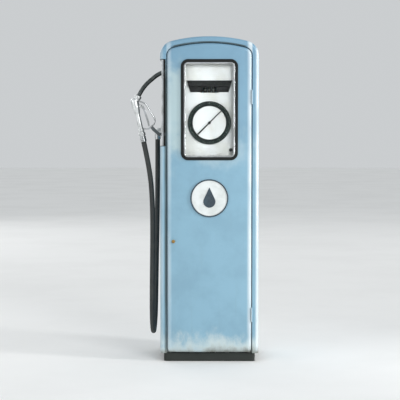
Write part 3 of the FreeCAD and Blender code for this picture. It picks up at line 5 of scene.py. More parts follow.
import bmesh
import bpy
from bpy.props import FloatProperty, FloatVectorProperty, IntProperty, PointerProperty
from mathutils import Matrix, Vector


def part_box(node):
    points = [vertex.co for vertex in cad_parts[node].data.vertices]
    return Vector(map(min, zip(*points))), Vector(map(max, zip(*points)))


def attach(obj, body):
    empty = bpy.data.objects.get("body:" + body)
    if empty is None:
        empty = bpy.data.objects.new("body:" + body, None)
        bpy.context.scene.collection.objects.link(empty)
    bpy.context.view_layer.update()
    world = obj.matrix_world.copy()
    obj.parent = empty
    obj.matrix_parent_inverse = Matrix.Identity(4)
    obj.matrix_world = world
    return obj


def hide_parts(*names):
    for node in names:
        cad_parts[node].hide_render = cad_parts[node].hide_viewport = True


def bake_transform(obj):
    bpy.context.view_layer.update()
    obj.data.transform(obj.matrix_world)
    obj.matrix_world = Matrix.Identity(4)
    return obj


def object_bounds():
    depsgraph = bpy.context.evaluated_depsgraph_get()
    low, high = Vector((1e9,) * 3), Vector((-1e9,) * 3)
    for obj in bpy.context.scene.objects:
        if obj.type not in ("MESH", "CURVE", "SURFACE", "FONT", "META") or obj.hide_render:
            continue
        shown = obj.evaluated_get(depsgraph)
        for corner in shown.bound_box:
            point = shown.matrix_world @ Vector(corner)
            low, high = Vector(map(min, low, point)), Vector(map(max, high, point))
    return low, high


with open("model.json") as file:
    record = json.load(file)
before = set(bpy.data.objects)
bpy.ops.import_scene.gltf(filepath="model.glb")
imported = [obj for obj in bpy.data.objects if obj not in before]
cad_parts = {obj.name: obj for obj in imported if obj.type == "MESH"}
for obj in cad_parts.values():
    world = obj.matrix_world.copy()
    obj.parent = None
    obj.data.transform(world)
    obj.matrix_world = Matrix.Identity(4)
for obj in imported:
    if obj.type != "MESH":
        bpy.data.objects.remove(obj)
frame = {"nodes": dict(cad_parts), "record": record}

CAD_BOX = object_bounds()
LOW, HIGH = Vector(CAD_BOX[0]), Vector(CAD_BOX[1])
NODES = frame["nodes"]
BODIES = frame["record"]["behaviour"]["bodies"]
BODY_OF = {node: body for body, nodes in BODIES.items() for node in nodes}

bl_info = {
    "name": "Clock-Face Fuel Pump",
    "version": (1, 0, 0),
    "blender": (4, 5, 0),
    "location": "3D View > Sidebar > Fuel Pump",
    "description": "Finishes a free-standing fuel pump around its mechanical model",
    "category": "Object",
}

# The hose's route from the outlet to the nozzle, in metres.
HOSE_ROUTE = (
    (-0.286, 0.125, 1.178),
    (-0.286, 0.125, 1.020),
    (-0.288, 0.132, 0.830),
    (-0.292, 0.145, 0.620),
    (-0.297, 0.157, 0.410),
    (-0.300, 0.156, 0.226),
    (-0.303, 0.066, 0.136),
    (-0.304, -0.061, 0.132),
    (-0.306, -0.151, 0.222),
    (-0.305, -0.154, 0.420),
    (-0.302, -0.148, 0.640),
    (-0.3035, -0.137, 0.850),
    (-0.3175, -0.132, 1.0183),
    (-0.350, -0.132, 1.1647),
)

# The arched top of the casing's front opening.
ARCH_CENTRE_Z = 0.890
ARCH_OPENING_RADIUS = 0.797

# The casing's worn paint, with a painted highlight along the upright edges and painted shade in the
# door's gap and along the arch. Each pair is where a mark starts and where it is full, across from
# the middle; the front face is found by its depth, the arch's seam by its distance from the
# opening.
FRONT_FACE = (-0.185, -0.205)
DOOR_BAND_START = (0.194, 0.214)
DOOR_BAND_END = (0.226, 0.2245)
RIM_BAND = (0.238, 0.252)
SEAM_START = (0.2225, 0.2262)
SEAM_END = (0.240, 0.2335)
ARCH_SEAM_START = (-0.001, 0.0)
ARCH_SEAM_END = (0.009, 0.004)
ARCH_SEAM_SIDES = (0.205, 0.185)
# The heights between which the upright seam gives way to the arch.
SEAM_TURN = (1.5, 1.6)
# Colour of the painted shade in the door's gap and along the hood's arch.
SEAM_SHADE_COLOUR = (0.17, 0.23, 0.23)
# The heights between which the painted shade that darkens the casing towards the hood comes in.
TOP_SHADE_HEIGHTS = (0.7, 1.75)
CHALK_HEIGHT = 0.27
CHALK_COLOUR = (0.76, 0.80, 0.79)
# Pale places on the front: centre, reach, strength and colour.
PALE_PLACES = (
    ((-0.185, -0.215, 1.33), (0.11, 0.2, 0.34), 0.5, (0.77, 0.82, 0.79)),
    ((0.06, -0.215, 1.13), (0.22, 0.2, 0.13), 0.3, (0.77, 0.82, 0.82)),
)

# The badge's dome, the marks of the dial's ring and the digits of the counter.
DOME_RISE = 0.0012
MARK_INSET = 0.0045
MARK_PROUD = 0.0001
MARK_THICKNESS = 0.0004
DIGIT_PROUD = 0.00015
DIGIT_TEXT_SIZE = 1.35
CUTS_PER_DIGIT = 8

FERRULE_RADIUS = 0.0175
FERRULE_LENGTH = 0.0298
CRIMPS = 3
CRIMP_DEPTH = 0.0013
# The nozzle's swivel: distance along the grip's line from its foot, and radius.
SWIVEL_PROFILE = (
    (0.030, 0.0140),
    (0.0308, 0.0150),
    (0.0545, 0.0150),
    (0.0557, 0.0138),
    (0.0558, 0.009),
    (0.0658, 0.009),
)
NUT_PROFILE = ((0.034, 0.0165), (0.0355, 0.0188), (0.0485, 0.0188), (0.050, 0.0165))
GRIP_FOOT = Vector((-0.350, -0.132, 1.165))
GRIP_HEAD = Vector((-0.396, -0.132, 1.372))
GRIP_WAY = (GRIP_HEAD - GRIP_FOOT).normalized()

# The studio's light, how bright its empty background looks, and the camera's aim beside the middle.
SKY_LIGHT = 0.74
SKY_SEEN = 0.66
FLOOR_RADIUS = 40.0
AIM_SHIFT = 0.03


# ---------------------------------------------------------------- settings
def colour_setting(label, text, rgb):
    return FloatVectorProperty(
        name=label, description=text, default=rgb, size=3, min=0, max=1, subtype="COLOR_GAMMA"
    )


class PumpPaintSettings(bpy.types.PropertyGroup):
    casing: colour_setting("Casing", "Colour of the casing's enamel paint", (0.495, 0.645, 0.72))
    shade: colour_setting(
        "Casing shade", "Duller patches of the casing's paint", (0.465, 0.61, 0.685)
    )
    # Painted shade: the casing's colour darkened towards the hood.
    upper: colour_setting("Upper casing", "Deeper paint towards the hood", (0.37, 0.52, 0.625))
    # Sun-faded paint with a painted highlight on it along the upright edges, stronger on the right.
    bleached: colour_setting(
        "Bleached paint", "Paint bleached along edges and low down", (0.81, 0.85, 0.865)
    )
    dirt: colour_setting("Dirt", "Road dirt splashed up from the ground", (0.42, 0.43, 0.40))
    dark: colour_setting(
        "Dark paint", "Black paint inside the recess and on the base", (0.10, 0.125, 0.125)
    )
    dial_green: colour_setting("Dial green", "Ring round the dial", (0.03, 0.085, 0.075))
    dial_white: colour_setting("Dial white", "Dial face and price plate", (0.81, 0.82, 0.82))
    dirt_height: FloatProperty(
        name="Dirt height",
        description="How high the road dirt reaches",
        default=0.145,
        min=0,
        unit="LENGTH",
    )


class PumpHoseSettings(bpy.types.PropertyGroup):
    diameter: FloatProperty(
        name="Diameter",
        description="Outer diameter of the hose",
        default=0.027,
        min=0.01,
        unit="LENGTH",
    )
    length: FloatProperty(
        name="Length",
        description="Length of the hose along its middle",
        default=2.25,
        min=0.5,
        unit="LENGTH",
    )
    sides: IntProperty(name="Sides", description="Faces round the hose", default=32, min=12)


class PumpDialSettings(bpy.types.PropertyGroup):
    marks: IntProperty(name="Marks", description="Marks round the dial's ring", default=60, min=12)
    mark_length: FloatProperty(
        name="Mark length",
        description="Length of a short mark",
        default=0.006,
        min=0.001,
        unit="LENGTH",
    )
    mark_width: FloatProperty(
        name="Mark width",
        description="Width of a short mark",
        default=0.0008,
        min=0.0002,
        unit="LENGTH",
    )
    digit_height: FloatProperty(
        name="Digit height",
        description="Height of the counter's digits",
        default=0.0085,
        min=0.002,
        unit="LENGTH",
    )


class PumpStageSettings(bpy.types.PropertyGroup):
    distance: FloatProperty(
        name="Camera distance",
        description="From the pump's front to the camera",
        default=6.6,
        min=1,
        unit="LENGTH",
    )
    camera_height: FloatProperty(
        name="Camera height",
        description="Height of the camera over the floor",
        default=1.2,
        min=0,
        unit="LENGTH",
    )
    lens: FloatProperty(
        name="Lens", description="Focal length in millimetres", default=113.0, min=20
    )
    key_power: FloatProperty(
        name="Key light", description="Power of the main light", default=390.0, min=0
    )
    fill_power: FloatProperty(
        name="Fill light", description="Power of the fill lights", default=165.0, min=0
    )
    edge_power: FloatProperty(
        name="Edge light", description="Power of the narrow light", default=14.0, min=0
    )


# ---------------------------------------------------------------- shader building
def linear(rgb):
    """A screen colour as the linear colour that a shader takes."""

    def step(value):
        return value / 12.92 if value <= 0.04045 else ((value + 0.055) / 1.055) ** 2.4

    return (*(step(value) for value in rgb), 1.0)


class Wiring:
    """Adds and joins the nodes of one shader tree."""

    def __init__(self, tree):
        self.tree = tree
        self.nodes = tree.nodes

    def add(self, kind, **settings):
        node = self.nodes.new(kind if kind.startswith("Node") else "ShaderNode" + kind)
        for name, value in settings.items():
            setattr(node, name, value)
        return node

    def feed(self, source, socket):
        """Joins an output to a socket, or sets the socket to a number or colour."""
        if isinstance(source, bpy.types.NodeSocket):
            self.tree.links.new(source, socket)
        else:
            socket.default_value = source

    def math(self, operation, first, second=0.0, clamp=False):
        node = self.add("Math", operation=operation, use_clamp=clamp)
        self.feed(first, node.inputs[0])
        self.feed(second, node.inputs[1])
        return node.outputs[0]

    def spread(self, value, low, high, to_low=0.0, to_high=1.0, smooth=False):
        node = self.add("MapRange", interpolation_type="SMOOTHSTEP" if smooth else "LINEAR")
        for socket, source in zip(node.inputs[:5], (value, low, high, to_low, to_high)):
            self.feed(source, socket)
        return node.outputs[0]

    def mix(self, share, first, second):
        node = self.add("Mix", data_type="RGBA")
        self.feed(share, node.inputs[0])
        self.feed(first, node.inputs[6])
        self.feed(second, node.inputs[7])
        return node.outputs[2]

    def place(self, scale=(1, 1, 1), turn=(0, 0, 0)):
        """Object coordinates, stretched or turned."""
        where = self.add("TexCoord").outputs["Object"]
        node = self.add("Mapping")
        node.inputs["Scale"].default_value = scale
        node.inputs["Rotation"].default_value = turn
        self.feed(where, node.inputs["Vector"])
        return node.outputs[0]

    def noise(self, where, scale, detail=4.0, roughness=0.55, distortion=0.0):
        node = self.add("TexNoise")
        self.feed(where, node.inputs["Vector"])
        self.feed(scale, node.inputs["Scale"])
        node.inputs["Detail"].default_value = detail
        node.inputs["Roughness"].default_value = roughness
        node.inputs["Distortion"].default_value = distortion
        return node.outputs["Fac"]

    def use(self, group, **values):
        node = self.add("Group", node_tree=group)
        for name, value in values.items():
            self.feed(value, node.inputs[name])
        return node.outputs[0]


def shared_group(name, inputs, output, build):
    """One shader effect with named inputs; build(wiring, inputs) gives its output."""
    if name in bpy.data.node_groups:
        return bpy.data.node_groups[name]
    tree = bpy.data.node_groups.new(name, "ShaderNodeTree")
    for label, default in inputs.items():
        socket = tree.interface.new_socket(
            name=label, in_out="INPUT", socket_type="NodeSocketFloat"
        )
        socket.default_value = default
    tree.interface.new_socket(name=output, in_out="OUTPUT", socket_type="NodeSocketFloat")
    wiring = Wiring(tree)
    entry = wiring.add("NodeGroupInput")
    end = wiring.add("NodeGroupOutput")
    wiring.feed(build(wiring, entry.outputs), end.inputs[0])
    return tree


def faded_edges():
    """The front's paint, sun-faded towards the upright edges of the door and of the casing, with a
    painted highlight there that is stronger on the right than on the left.
    """

    def build(w, entry):
        split = w.add("SeparateXYZ")
        w.feed(w.place(), split.inputs[0])
        side = w.math("ABSOLUTE", split.outputs["X"])
        start = w.spread(side, *DOOR_BAND_START, smooth=True)
        door = w.math("MULTIPLY", start, w.spread(side, *DOOR_BAND_END))
        rim = w.spread(side, *RIM_BAND, smooth=True)
        front = w.spread(split.outputs["Y"], *FRONT_FACE)
        broken = w.spread(w.noise(w.place((1, 1, 0.35)), 9.0, 4.0), 0.30, 0.56, 0.35, 1.0)
        strength = w.spread(split.outputs["X"], -0.1, 0.1, entry["Left"], entry["Right"])
        mask = w.math("MULTIPLY", w.math("MAXIMUM", door, rim), front)
        return w.math("MULTIPLY", w.math("MULTIPLY", mask, broken), strength)

    return shared_group("Faded And Highlit Edges", {"Left": 0.4, "Right": 0.9}, "Mask", build)


def seam_dirt():
    """Painted shade beside the door's gap, down the lock's side and along the hood's arch."""

    def build(w, entry):
        split = w.add("SeparateXYZ")
        w.feed(w.place(), split.inputs[0])
        x, y, z = split.outputs
        away = w.math("MULTIPLY", x, -1.0)
        start = w.spread(away, *SEAM_START)
        upright = w.math("MULTIPLY", start, w.spread(away, *SEAM_END, smooth=True))
        upright = w.math("MULTIPLY", upright, w.spread(z, *reversed(SEAM_TURN)))
        rise = w.math("SUBTRACT", z, ARCH_CENTRE_Z)
        squares = w.math("ADD", w.math("MULTIPLY", x, x), w.math("MULTIPLY", rise, rise))
        past = w.math("SUBTRACT", w.math("SQRT", squares), ARCH_OPENING_RADIUS)
        start = w.spread(past, *ARCH_SEAM_START)
        arch = w.math("MULTIPLY", start, w.spread(past, *ARCH_SEAM_END, smooth=True))
        arch = w.math("MULTIPLY", arch, w.spread(w.math("ABSOLUTE", x), *ARCH_SEAM_SIDES))
        arch = w.math("MULTIPLY", arch, w.spread(z, *SEAM_TURN))
        broken = w.spread(w.noise(w.place((1, 1, 0.2)), 14.0, 3.0), 0.3, 0.5, 0.7, 1.0)
        front = w.math("MULTIPLY", w.spread(y, *FRONT_FACE), broken)
        return w.math("MULTIPLY", w.math("MAXIMUM", upright, arch), front)

    return shared_group("Seam Shade", {}, "Mask", build)


def spot(centre, reach):
    """A soft patch round one place."""
    where = tuple(round(value, 3) for value in (*centre, *reach))

    def build(w, entry):
        shift = w.add("VectorMath", operation="SUBTRACT")
        w.feed(w.place(), shift.inputs[0])
        shift.inputs[1].default_value = centre
        stretch = w.add("VectorMath", operation="DIVIDE")
        w.feed(shift.outputs[0], stretch.inputs[0])
        stretch.inputs[1].default_value = reach
        length = w.add("VectorMath", operation="LENGTH")
        w.feed(stretch.outputs[0], length.inputs[0])
        ragged = w.spread(w.noise(w.place(), 12.0, 4.0), 0.3, 0.7, -0.25, 0.25)
        far = w.math("ADD", length.outputs["Value"], ragged)
        return w.spread(far, 0.3, 1.0, entry["Strength"], 0.0, smooth=True)

    return shared_group(f"Patch {where}", {"Strength": 1.0}, "Mask", build)


def height_share():
    """Nothing at the low height, one at the high height."""

    def build(w, entry):
        split = w.add("SeparateXYZ")
        w.feed(w.place(), split.inputs[0])
        return w.spread(split.outputs["Z"], entry["Low"], entry["High"], smooth=True)

    return shared_group("Height Share", {"Low": 0.0, "High": 1.0}, "Mask", build)


def blotches():
    """Soft patches, such as faded or dull paint."""

    def build(w, entry):
        cloud = w.noise(w.place(), entry["Scale"], 5.0, 0.6)
        return w.spread(cloud, entry["Low"], entry["High"], smooth=True)

    return shared_group("Blotches", {"Scale": 6.0, "Low": 0.4, "High": 0.65}, "Mask", build)


def run_marks():
    """Streaks that rain has drawn down an upright face."""

    def build(w, entry):
        fine = w.noise(w.place((1, 1, 0.05)), entry["Scale"], 3.0, 0.6)
        broken = w.noise(w.place((1, 1, 0.6)), 3.0, 3.0)
        streaks = w.spread(fine, 0.56, 0.78, smooth=True)
        return w.math("MULTIPLY", streaks, w.spread(broken, 0.4, 0.7))

    return shared_group("Run Marks", {"Scale": 40.0}, "Mask", build)


def ground_dirt():
    """Dirt that is thick at the foot and breaks up with height."""

    def build(w, entry):
        split = w.add("SeparateXYZ")
        w.feed(w.place(), split.inputs[0])
        share = w.math("DIVIDE", split.outputs["Z"], entry["Height"])
        broad = w.noise(w.place((1, 1, 0.7)), 11.0, 6.0, 0.65)
        low = w.spread(share, 0.0, 1.0, 1.0, 0.0)
        return w.spread(w.math("ADD", low, broad), 0.88, 1.3, smooth=True)

    return shared_group("Ground Dirt", {"Height": 0.3}, "Mask", build)


def paint_chips():
    """Small hard-edged spots where the paint has come away."""

    def build(w, entry):
        spots = w.noise(w.place(), entry["Scale"], 6.0, 0.7, 0.3)
        where = w.noise(w.place(), 4.0, 2.0)
        level = w.math("ADD", spots, w.math("MULTIPLY", where, 0.25))
        edge = w.math("SUBTRACT", 1.02, entry["Amount"])
        return w.spread(level, edge, w.math("ADD", edge, 0.012))

    return shared_group("Paint Chips", {"Scale": 45.0, "Amount": 0.1}, "Mask", build)


def fine_grain():
    """The fine roughness of a painted, cast or moulded face."""

    def build(w, entry):
        return w.noise(w.place(), entry["Scale"], 3.0, 0.6)

    return shared_group("Fine Grain", {"Scale": 400.0}, "Height", build)


def brushed():
    """Long fine lines along Z, as on drawn or ground metal."""

    def build(w, entry):
        return w.noise(w.place((1, 1, 0.02)), entry["Scale"], 4.0, 0.7)

    return shared_group("Brushed Lines", {"Scale": 600.0}, "Height", build)


def material(name):
    made = bpy.data.materials.new(name)
    made.use_nodes = True
    wiring = Wiring(made.node_tree)
    shader = made.node_tree.nodes["Principled BSDF"]
    return made, wiring, shader


def surface(
    name,
    colour,
    shade,
    rough,
    patch=6.0,
    metal=0.0,
    coat=0.0,
    grain=(500.0, 0.00004),
    runs=0.0,
    dirt=0.0,
    chips=0.0,
    under=(0.33, 0.29, 0.25),
    lines=0.0,
    gloss=0.5,
    wear_and_painted_light=False,
):
    """A worn finish in two tones and grain, if wanted with streaks, dirt, chips and brushed lines.

    With the casing's marks it also has chalky and pale places, sun-faded edges with a painted
    highlight on them, painted shade in the seams and painted shade that darkens it towards the top.
    """
    paint = bpy.context.scene.pump_paint
    made, w, shader = material(name)
    patches = w.use(blotches(), Scale=patch)
    tone = w.mix(patches, linear(colour), linear(shade))
    if wear_and_painted_light:
        # Painted shade: the casing darker towards the top.
        low, high = TOP_SHADE_HEIGHTS
        upper = w.math("MULTIPLY", w.use(height_share(), Low=low, High=high), 0.55)
        tone = w.mix(upper, tone, linear(paint.upper))
        chalk = w.math("MULTIPLY", w.use(ground_dirt(), Height=CHALK_HEIGHT), 0.8)
        tone = w.mix(chalk, tone, linear(CHALK_COLOUR))
        for centre, reach, strength, pale in PALE_PLACES:
            tone = w.mix(w.use(spot(centre, reach), Strength=strength), tone, linear(pale))
        # Painted highlight on sun-faded paint along the upright edges, stronger on the right than
        # the left.
        tone = w.mix(w.use(faded_edges(), Left=0.4, Right=0.85), tone, linear(paint.bleached))
        # Painted shade in the door's gap and along the hood's arch.
        shaded_seams = w.math("MULTIPLY", w.use(seam_dirt()), 0.88)
        tone = w.mix(shaded_seams, tone, linear(SEAM_SHADE_COLOUR))
    roughness = w.spread(patches, 0.0, 1.0, rough[0], rough[1])
    height = w.use(fine_grain(), Scale=grain[0])
    if lines:
        drawn = w.use(brushed(), Scale=700.0)
        height = w.math("ADD", height, w.math("MULTIPLY", drawn, lines))
        roughness = w.math("ADD", roughness, w.spread(drawn, 0.35, 0.65, -0.08, 0.12))
    if runs:
        marks = w.math("MULTIPLY", w.use(run_marks(), Scale=38.0), runs)
        tone = w.mix(marks, tone, linear(paint.dirt))
        roughness = w.math("ADD", roughness, w.math("MULTIPLY", marks, 0.3))
    if chips:
        gone = w.use(paint_chips(), Amount=chips)
        tone = w.mix(gone, tone, linear(under))
        roughness = w.math("ADD", roughness, w.math("MULTIPLY", gone, 0.3))
        height = w.math("SUBTRACT", height, w.math("MULTIPLY", gone, 2.0))
    if dirt:
        splashed = w.math("MULTIPLY", w.use(ground_dirt(), Height=paint.dirt_height), dirt)
        tone = w.mix(splashed, tone, linear(paint.dirt))
        roughness = w.math("ADD", roughness, w.math("MULTIPLY", splashed, 0.4), clamp=True)
    bump = w.add("Bump")
    bump.inputs["Distance"].default_value = grain[1]
    w.feed(height, bump.inputs["Height"])
    w.feed(bump.outputs[0], shader.inputs["Normal"])
    w.feed(tone, shader.inputs["Base Color"])
    w.feed(roughness, shader.inputs["Roughness"])
    shader.inputs["Metallic"].default_value = metal
    shader.inputs["Specular IOR Level"].default_value = gloss
    shader.inputs["Coat Weight"].default_value = coat
    shader.inputs["Coat Roughness"].default_value = 0.08
    return made


def window_glass():
    """Clear glass that lets the light of the lamps through."""
    made, w, shader = material("window_glass")
    shader.inputs["Base Color"].default_value = (0.96, 0.975, 0.975, 1)
    shader.inputs["Metallic"].default_value = 0.0
    shader.inputs["Transmission Weight"].default_value = 1.0
    shader.inputs["IOR"].default_value = 1.1
    shader.inputs["Specular IOR Level"].default_value = 0.9
    film = w.use(blotches(), Scale=9.0)
    w.feed(w.spread(film, 0.0, 1.0, 0.01, 0.05), shader.inputs["Roughness"])
    clear = w.add("BsdfTransparent")
    clear.inputs["Color"].default_value = (0.96, 0.97, 0.97, 1)
    path = w.add("LightPath")
    both = w.add("MixShader")
    w.feed(path.outputs["Is Shadow Ray"], both.inputs[0])
    w.feed(shader.outputs[0], both.inputs[1])
    w.feed(clear.outputs[0], both.inputs[2])
    w.feed(both.outputs[0], made.node_tree.nodes["Material Output"].inputs["Surface"])
    return made


def hose_rubber():
    """Black hose rubber with the print of the cloth it was cured in, along the hose's own map."""
    made, w, shader = material("hose_rubber")
    where = w.add("UVMap", uv_map="HoseMap").outputs[0]
    ribs = []
    for turn in (0.9, -0.9):
        lay = w.add("Mapping")
        lay.inputs["Rotation"].default_value = (0, 0, turn)
        w.feed(where, lay.inputs["Vector"])
        wave = w.add("TexWave", wave_type="BANDS", bands_direction="X")
        w.feed(lay.outputs[0], wave.inputs["Vector"])
        wave.inputs["Scale"].default_value = 95.0
        ribs.append(wave.outputs["Fac"])
    weave = w.math("MAXIMUM", ribs[0], ribs[1])
    dust = w.use(blotches(), Scale=14.0)
    tone = w.mix(dust, linear((0.115, 0.135, 0.135)), linear((0.20, 0.215, 0.21)))
    low = w.math("MULTIPLY", w.use(ground_dirt(), Height=0.35), 0.5)
    tone = w.mix(low, tone, linear((0.33, 0.33, 0.30)))
    w.feed(tone, shader.inputs["Base Color"])
    w.feed(w.spread(dust, 0.0, 1.0, 0.42, 0.7), shader.inputs["Roughness"])
    bump = w.add("Bump")
    bump.inputs["Distance"].default_value = 0.0005
    w.feed(weave, bump.inputs["Height"])
    w.feed(bump.outputs[0], shader.inputs["Normal"])
    return made


FINISHES = {}


def finish(name):
    """The material of that name, made the first time it is asked for."""
    paint = bpy.context.scene.pump_paint
    if name in FINISHES:
        return FINISHES[name]
    makers = {
        "casing_paint": lambda: surface(
            name, paint.casing, paint.shade, (0.36, 0.55), 4.5, coat=0.12,
            grain=(260.0, 0.00006), runs=0.2, dirt=0.95, chips=0.14, wear_and_painted_light=True,
        ),
        "recess_paint": lambda: surface(
            name, paint.dark, (0.16, 0.18, 0.18), (0.42, 0.6), 9.0, runs=0.2, chips=0.12
        ),
        "base_iron": lambda: surface(
            name, (0.06, 0.09, 0.085), (0.09, 0.12, 0.115), (0.5, 0.75), 12.0,
            grain=(180.0, 0.0004), dirt=0.12, chips=0.2, gloss=0.3,
        ),
        "frame_steel": lambda: surface(
            name, (0.30, 0.33, 0.34), (0.24, 0.27, 0.28), (0.4, 0.6), 8.0, chips=0.16
        ),
        "machine_green": lambda: surface(
            name, (0.27, 0.39, 0.36), (0.20, 0.31, 0.28), (0.3, 0.5), 14.0, grain=(300.0, 0.00015),
            runs=0.3, chips=0.15,
        ),
        "cast_grey": lambda: surface(
            name, (0.40, 0.42, 0.43), (0.30, 0.32, 0.33), (0.45, 0.7), 20.0, 0.6,
            grain=(220.0, 0.0004), runs=0.4,
        ),
        "pipe_steel": lambda: surface(
            name, (0.60, 0.61, 0.61), (0.44, 0.45, 0.45), (0.3, 0.5), 25.0, 1.0, lines=0.6
        ),
        "worn_brass": lambda: surface(
            name, (0.72, 0.58, 0.34), (0.50, 0.40, 0.24), (0.25, 0.5), 22.0, 1.0, runs=0.25
        ),
        "bright_metal": lambda: surface(
            name, (0.83, 0.84, 0.85), (0.66, 0.67, 0.67), (0.10, 0.28), 16.0, 1.0
        ),
        "nozzle_metal": lambda: surface(
            name, (0.88, 0.89, 0.89), (0.72, 0.73, 0.73), (0.28, 0.46), 30.0, 1.0,
            grain=(350.0, 0.00015), runs=0.12,
        ),
        "spout_metal": lambda: surface(
            name, (0.34, 0.36, 0.36), (0.22, 0.24, 0.24), (0.28, 0.5), 26.0, 1.0, runs=0.25
        ),
        "window_rubber": lambda: surface(
            name, (0.045, 0.06, 0.06), (0.085, 0.10, 0.095), (0.5, 0.7), 18.0, gloss=0.25
        ),
        "belt_rubber": lambda: surface(
            name, (0.11, 0.11, 0.11), (0.17, 0.17, 0.16), (0.6, 0.8), 18.0
        ),
        "dial_white": lambda: surface(
            name, paint.dial_white, (0.765, 0.77, 0.755), (0.35, 0.5), 9.0
        ),
        "dial_green": lambda: surface(
            name, paint.dial_green, (0.04, 0.10, 0.09), (0.3, 0.42), 16.0, gloss=0.3
        ),
        "black_paint": lambda: surface(
            name, (0.04, 0.05, 0.05), (0.07, 0.085, 0.085), (0.35, 0.55), 20.0, gloss=0.35
        ),
        "enamel_white": lambda: surface(
            name, (0.84, 0.86, 0.86), (0.76, 0.78, 0.77), (0.12, 0.3), 9.0,
            coat=0.6, runs=0.15, chips=0.12,
        ),
        "enamel_dark": lambda: surface(
            name, (0.20, 0.27, 0.31), (0.14, 0.20, 0.24), (0.14, 0.3), 12.0, coat=0.6, chips=0.1
        ),
        "mark_paint": lambda: surface(
            name, (0.50, 0.56, 0.53), (0.40, 0.46, 0.43), (0.35, 0.5), 30.0
        ),
        "window_glass": window_glass,
        "hose_rubber": hose_rubber,
    }
    FINISHES[name] = makers[name]()
    return FINISHES[name]


# ---------------------------------------------------------------- modelling
def only(piece):
    """Selects that piece and nothing else."""
    bpy.ops.object.select_all(action="DESELECT")
    piece.select_set(True)
    bpy.context.view_layer.objects.active = piece


@contextmanager
def editing(piece):
    only(piece)
    bpy.ops.object.mode_set(mode="EDIT")
    yield bmesh.from_edit_mesh(piece.data)
    bpy.ops.object.mode_set(mode="OBJECT")


def primitive(kind, name, **settings):
    bpy.ops.object.select_all(action="DESELECT")
    getattr(bpy.ops.mesh, f"primitive_{kind}_add")(**settings)
    piece = bpy.context.object
    piece.name = name
    piece.data.name = name
    return piece


def modify(piece, kind, **settings):
    """Adds a modifier and applies it."""
    only(piece)
    modifier = piece.modifiers.new(kind.title(), kind)
    for name, value in settings.items():
        setattr(modifier, name, value)
    bpy.ops.object.modifier_apply(modifier=modifier.name)


def settle(piece):
    """Puts the piece's place into its mesh, with all faces outwards."""
    only(piece)
    bpy.ops.object.transform_apply(location=True, rotation=True, scale=True)
    with editing(piece):
        bpy.ops.mesh.select_all(action="SELECT")
        bpy.ops.mesh.remove_doubles(threshold=0.00001)
        bpy.ops.mesh.normals_make_consistent(inside=False)


def smooth(piece, angle=35.0):
    only(piece)
    bpy.ops.object.shade_smooth_by_angle(angle=math.radians(angle))


def coat(piece, name):
    """Gives the whole piece one finish."""
    piece.data.materials.clear()
    piece.data.materials.append(finish(name))


def fit(piece, body, finish_name, slot, *nodes):
    """Gives a new piece its finish, its body and the parts of the frame that it stands for."""
    coat(piece, finish_name)
    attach(piece, body)
    if nodes:
        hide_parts(*nodes)


def turned(name, profile, steps=48, start=(0, 0, 0), along=(0, 0, 1)):
    """A closed turned piece; its profile is (distance, radius) pairs along the given direction."""
    piece = primitive("circle", name, vertices=steps, radius=profile[0][1], fill_type="NGON")
    piece.location.z = profile[0][0]
    with editing(piece):
        for (here, radius), (there, wide) in zip(profile, profile[1:]):
            bpy.ops.mesh.extrude_region_move(TRANSFORM_OT_translate={"value": (0, 0, there - here)})
            bpy.ops.transform.resize(value=(wide / radius, wide / radius, 1))
    only(piece)
    bpy.ops.object.transform_apply(location=True, rotation=True, scale=True)
    piece.rotation_euler = Vector(along).to_track_quat("Z", "Y").to_euler()
    piece.location = start
    settle(piece)
    smooth(piece)
    return piece


def joined(name, pieces):
    """Several meshes made into one piece."""
    only(pieces[0])
    for piece in pieces[1:]:
        piece.select_set(True)
    bpy.ops.object.join()
    made = bpy.context.object
    made.name = name
    made.data.name = name
    return made


def node_copy(node):
    """A welded copy of a frame part, in the part's place."""
    source = NODES[node]
    piece = bpy.data.objects.new(node + "_finished", source.data.copy())
    piece.data.name = piece.name
    bpy.context.scene.collection.objects.link(piece)
    piece.matrix_world = source.matrix_world.copy()
    only(piece)
    bpy.ops.object.transform_apply(location=True, rotation=True, scale=True)
    bpy.ops.mesh.customdata_custom_splitnormals_clear()
    with editing(piece):
        bpy.ops.mesh.select_all(action="SELECT")
        bpy.ops.mesh.remove_doubles(threshold=0.00002)
        bpy.ops.mesh.dissolve_limited(angle_limit=math.radians(0.6))
    return piece


def edged_copy(node, finish_name, slot, width, angle=32.0, segments=2):
    """A copy of a frame part with its sharp edges rounded; it takes the part's place."""
    piece = node_copy(node)
    modify(
        piece, "BEVEL", width=width, segments=segments, limit_method="ANGLE",
        angle_limit=math.radians(angle), use_clamp_overlap=True, miter_outer="MITER_ARC",
    )
    smooth(piece)
    modify(piece, "WEIGHTED_NORMAL", keep_sharp=True)
    fit(piece, BODY_OF[node], finish_name, slot, node)
    return piece


def cast_copy(node, finish_name, slot, grain, rounds):
    """A copy of a frame part as one flowing casting, with its corners melted together."""
    piece = node_copy(node)
    modify(piece, "REMESH", mode="VOXEL", voxel_size=grain)
    modify(piece, "SMOOTH", factor=0.5, iterations=rounds)
    only(piece)
    bpy.ops.object.shade_smooth()
    fit(piece, BODY_OF[node], finish_name, slot, node)
    return piece


# ---------------------------------------------------------------- hose
def route_points():
    """The points along the hose's smooth middle line."""
    curve = bpy.data.curves.new("hose_line", "CURVE")
    curve.dimensions = "3D"
    curve.resolution_u = 24
    line = curve.splines.new("NURBS")
    line.points.add(len(HOSE_ROUTE) - 1)
    for point, place in zip(line.points, HOSE_ROUTE):
        point.co = (*place, 1.0)
    line.order_u = 3
    line.use_endpoint_u = True
    holder = bpy.data.objects.new("hose_line", curve)
    mesh = bpy.data.meshes.new_from_object(holder)
    points = [vertex.co.copy() for vertex in mesh.vertices]
    bpy.data.objects.remove(holder)
    bpy.data.meshes.remove(mesh)
    return points


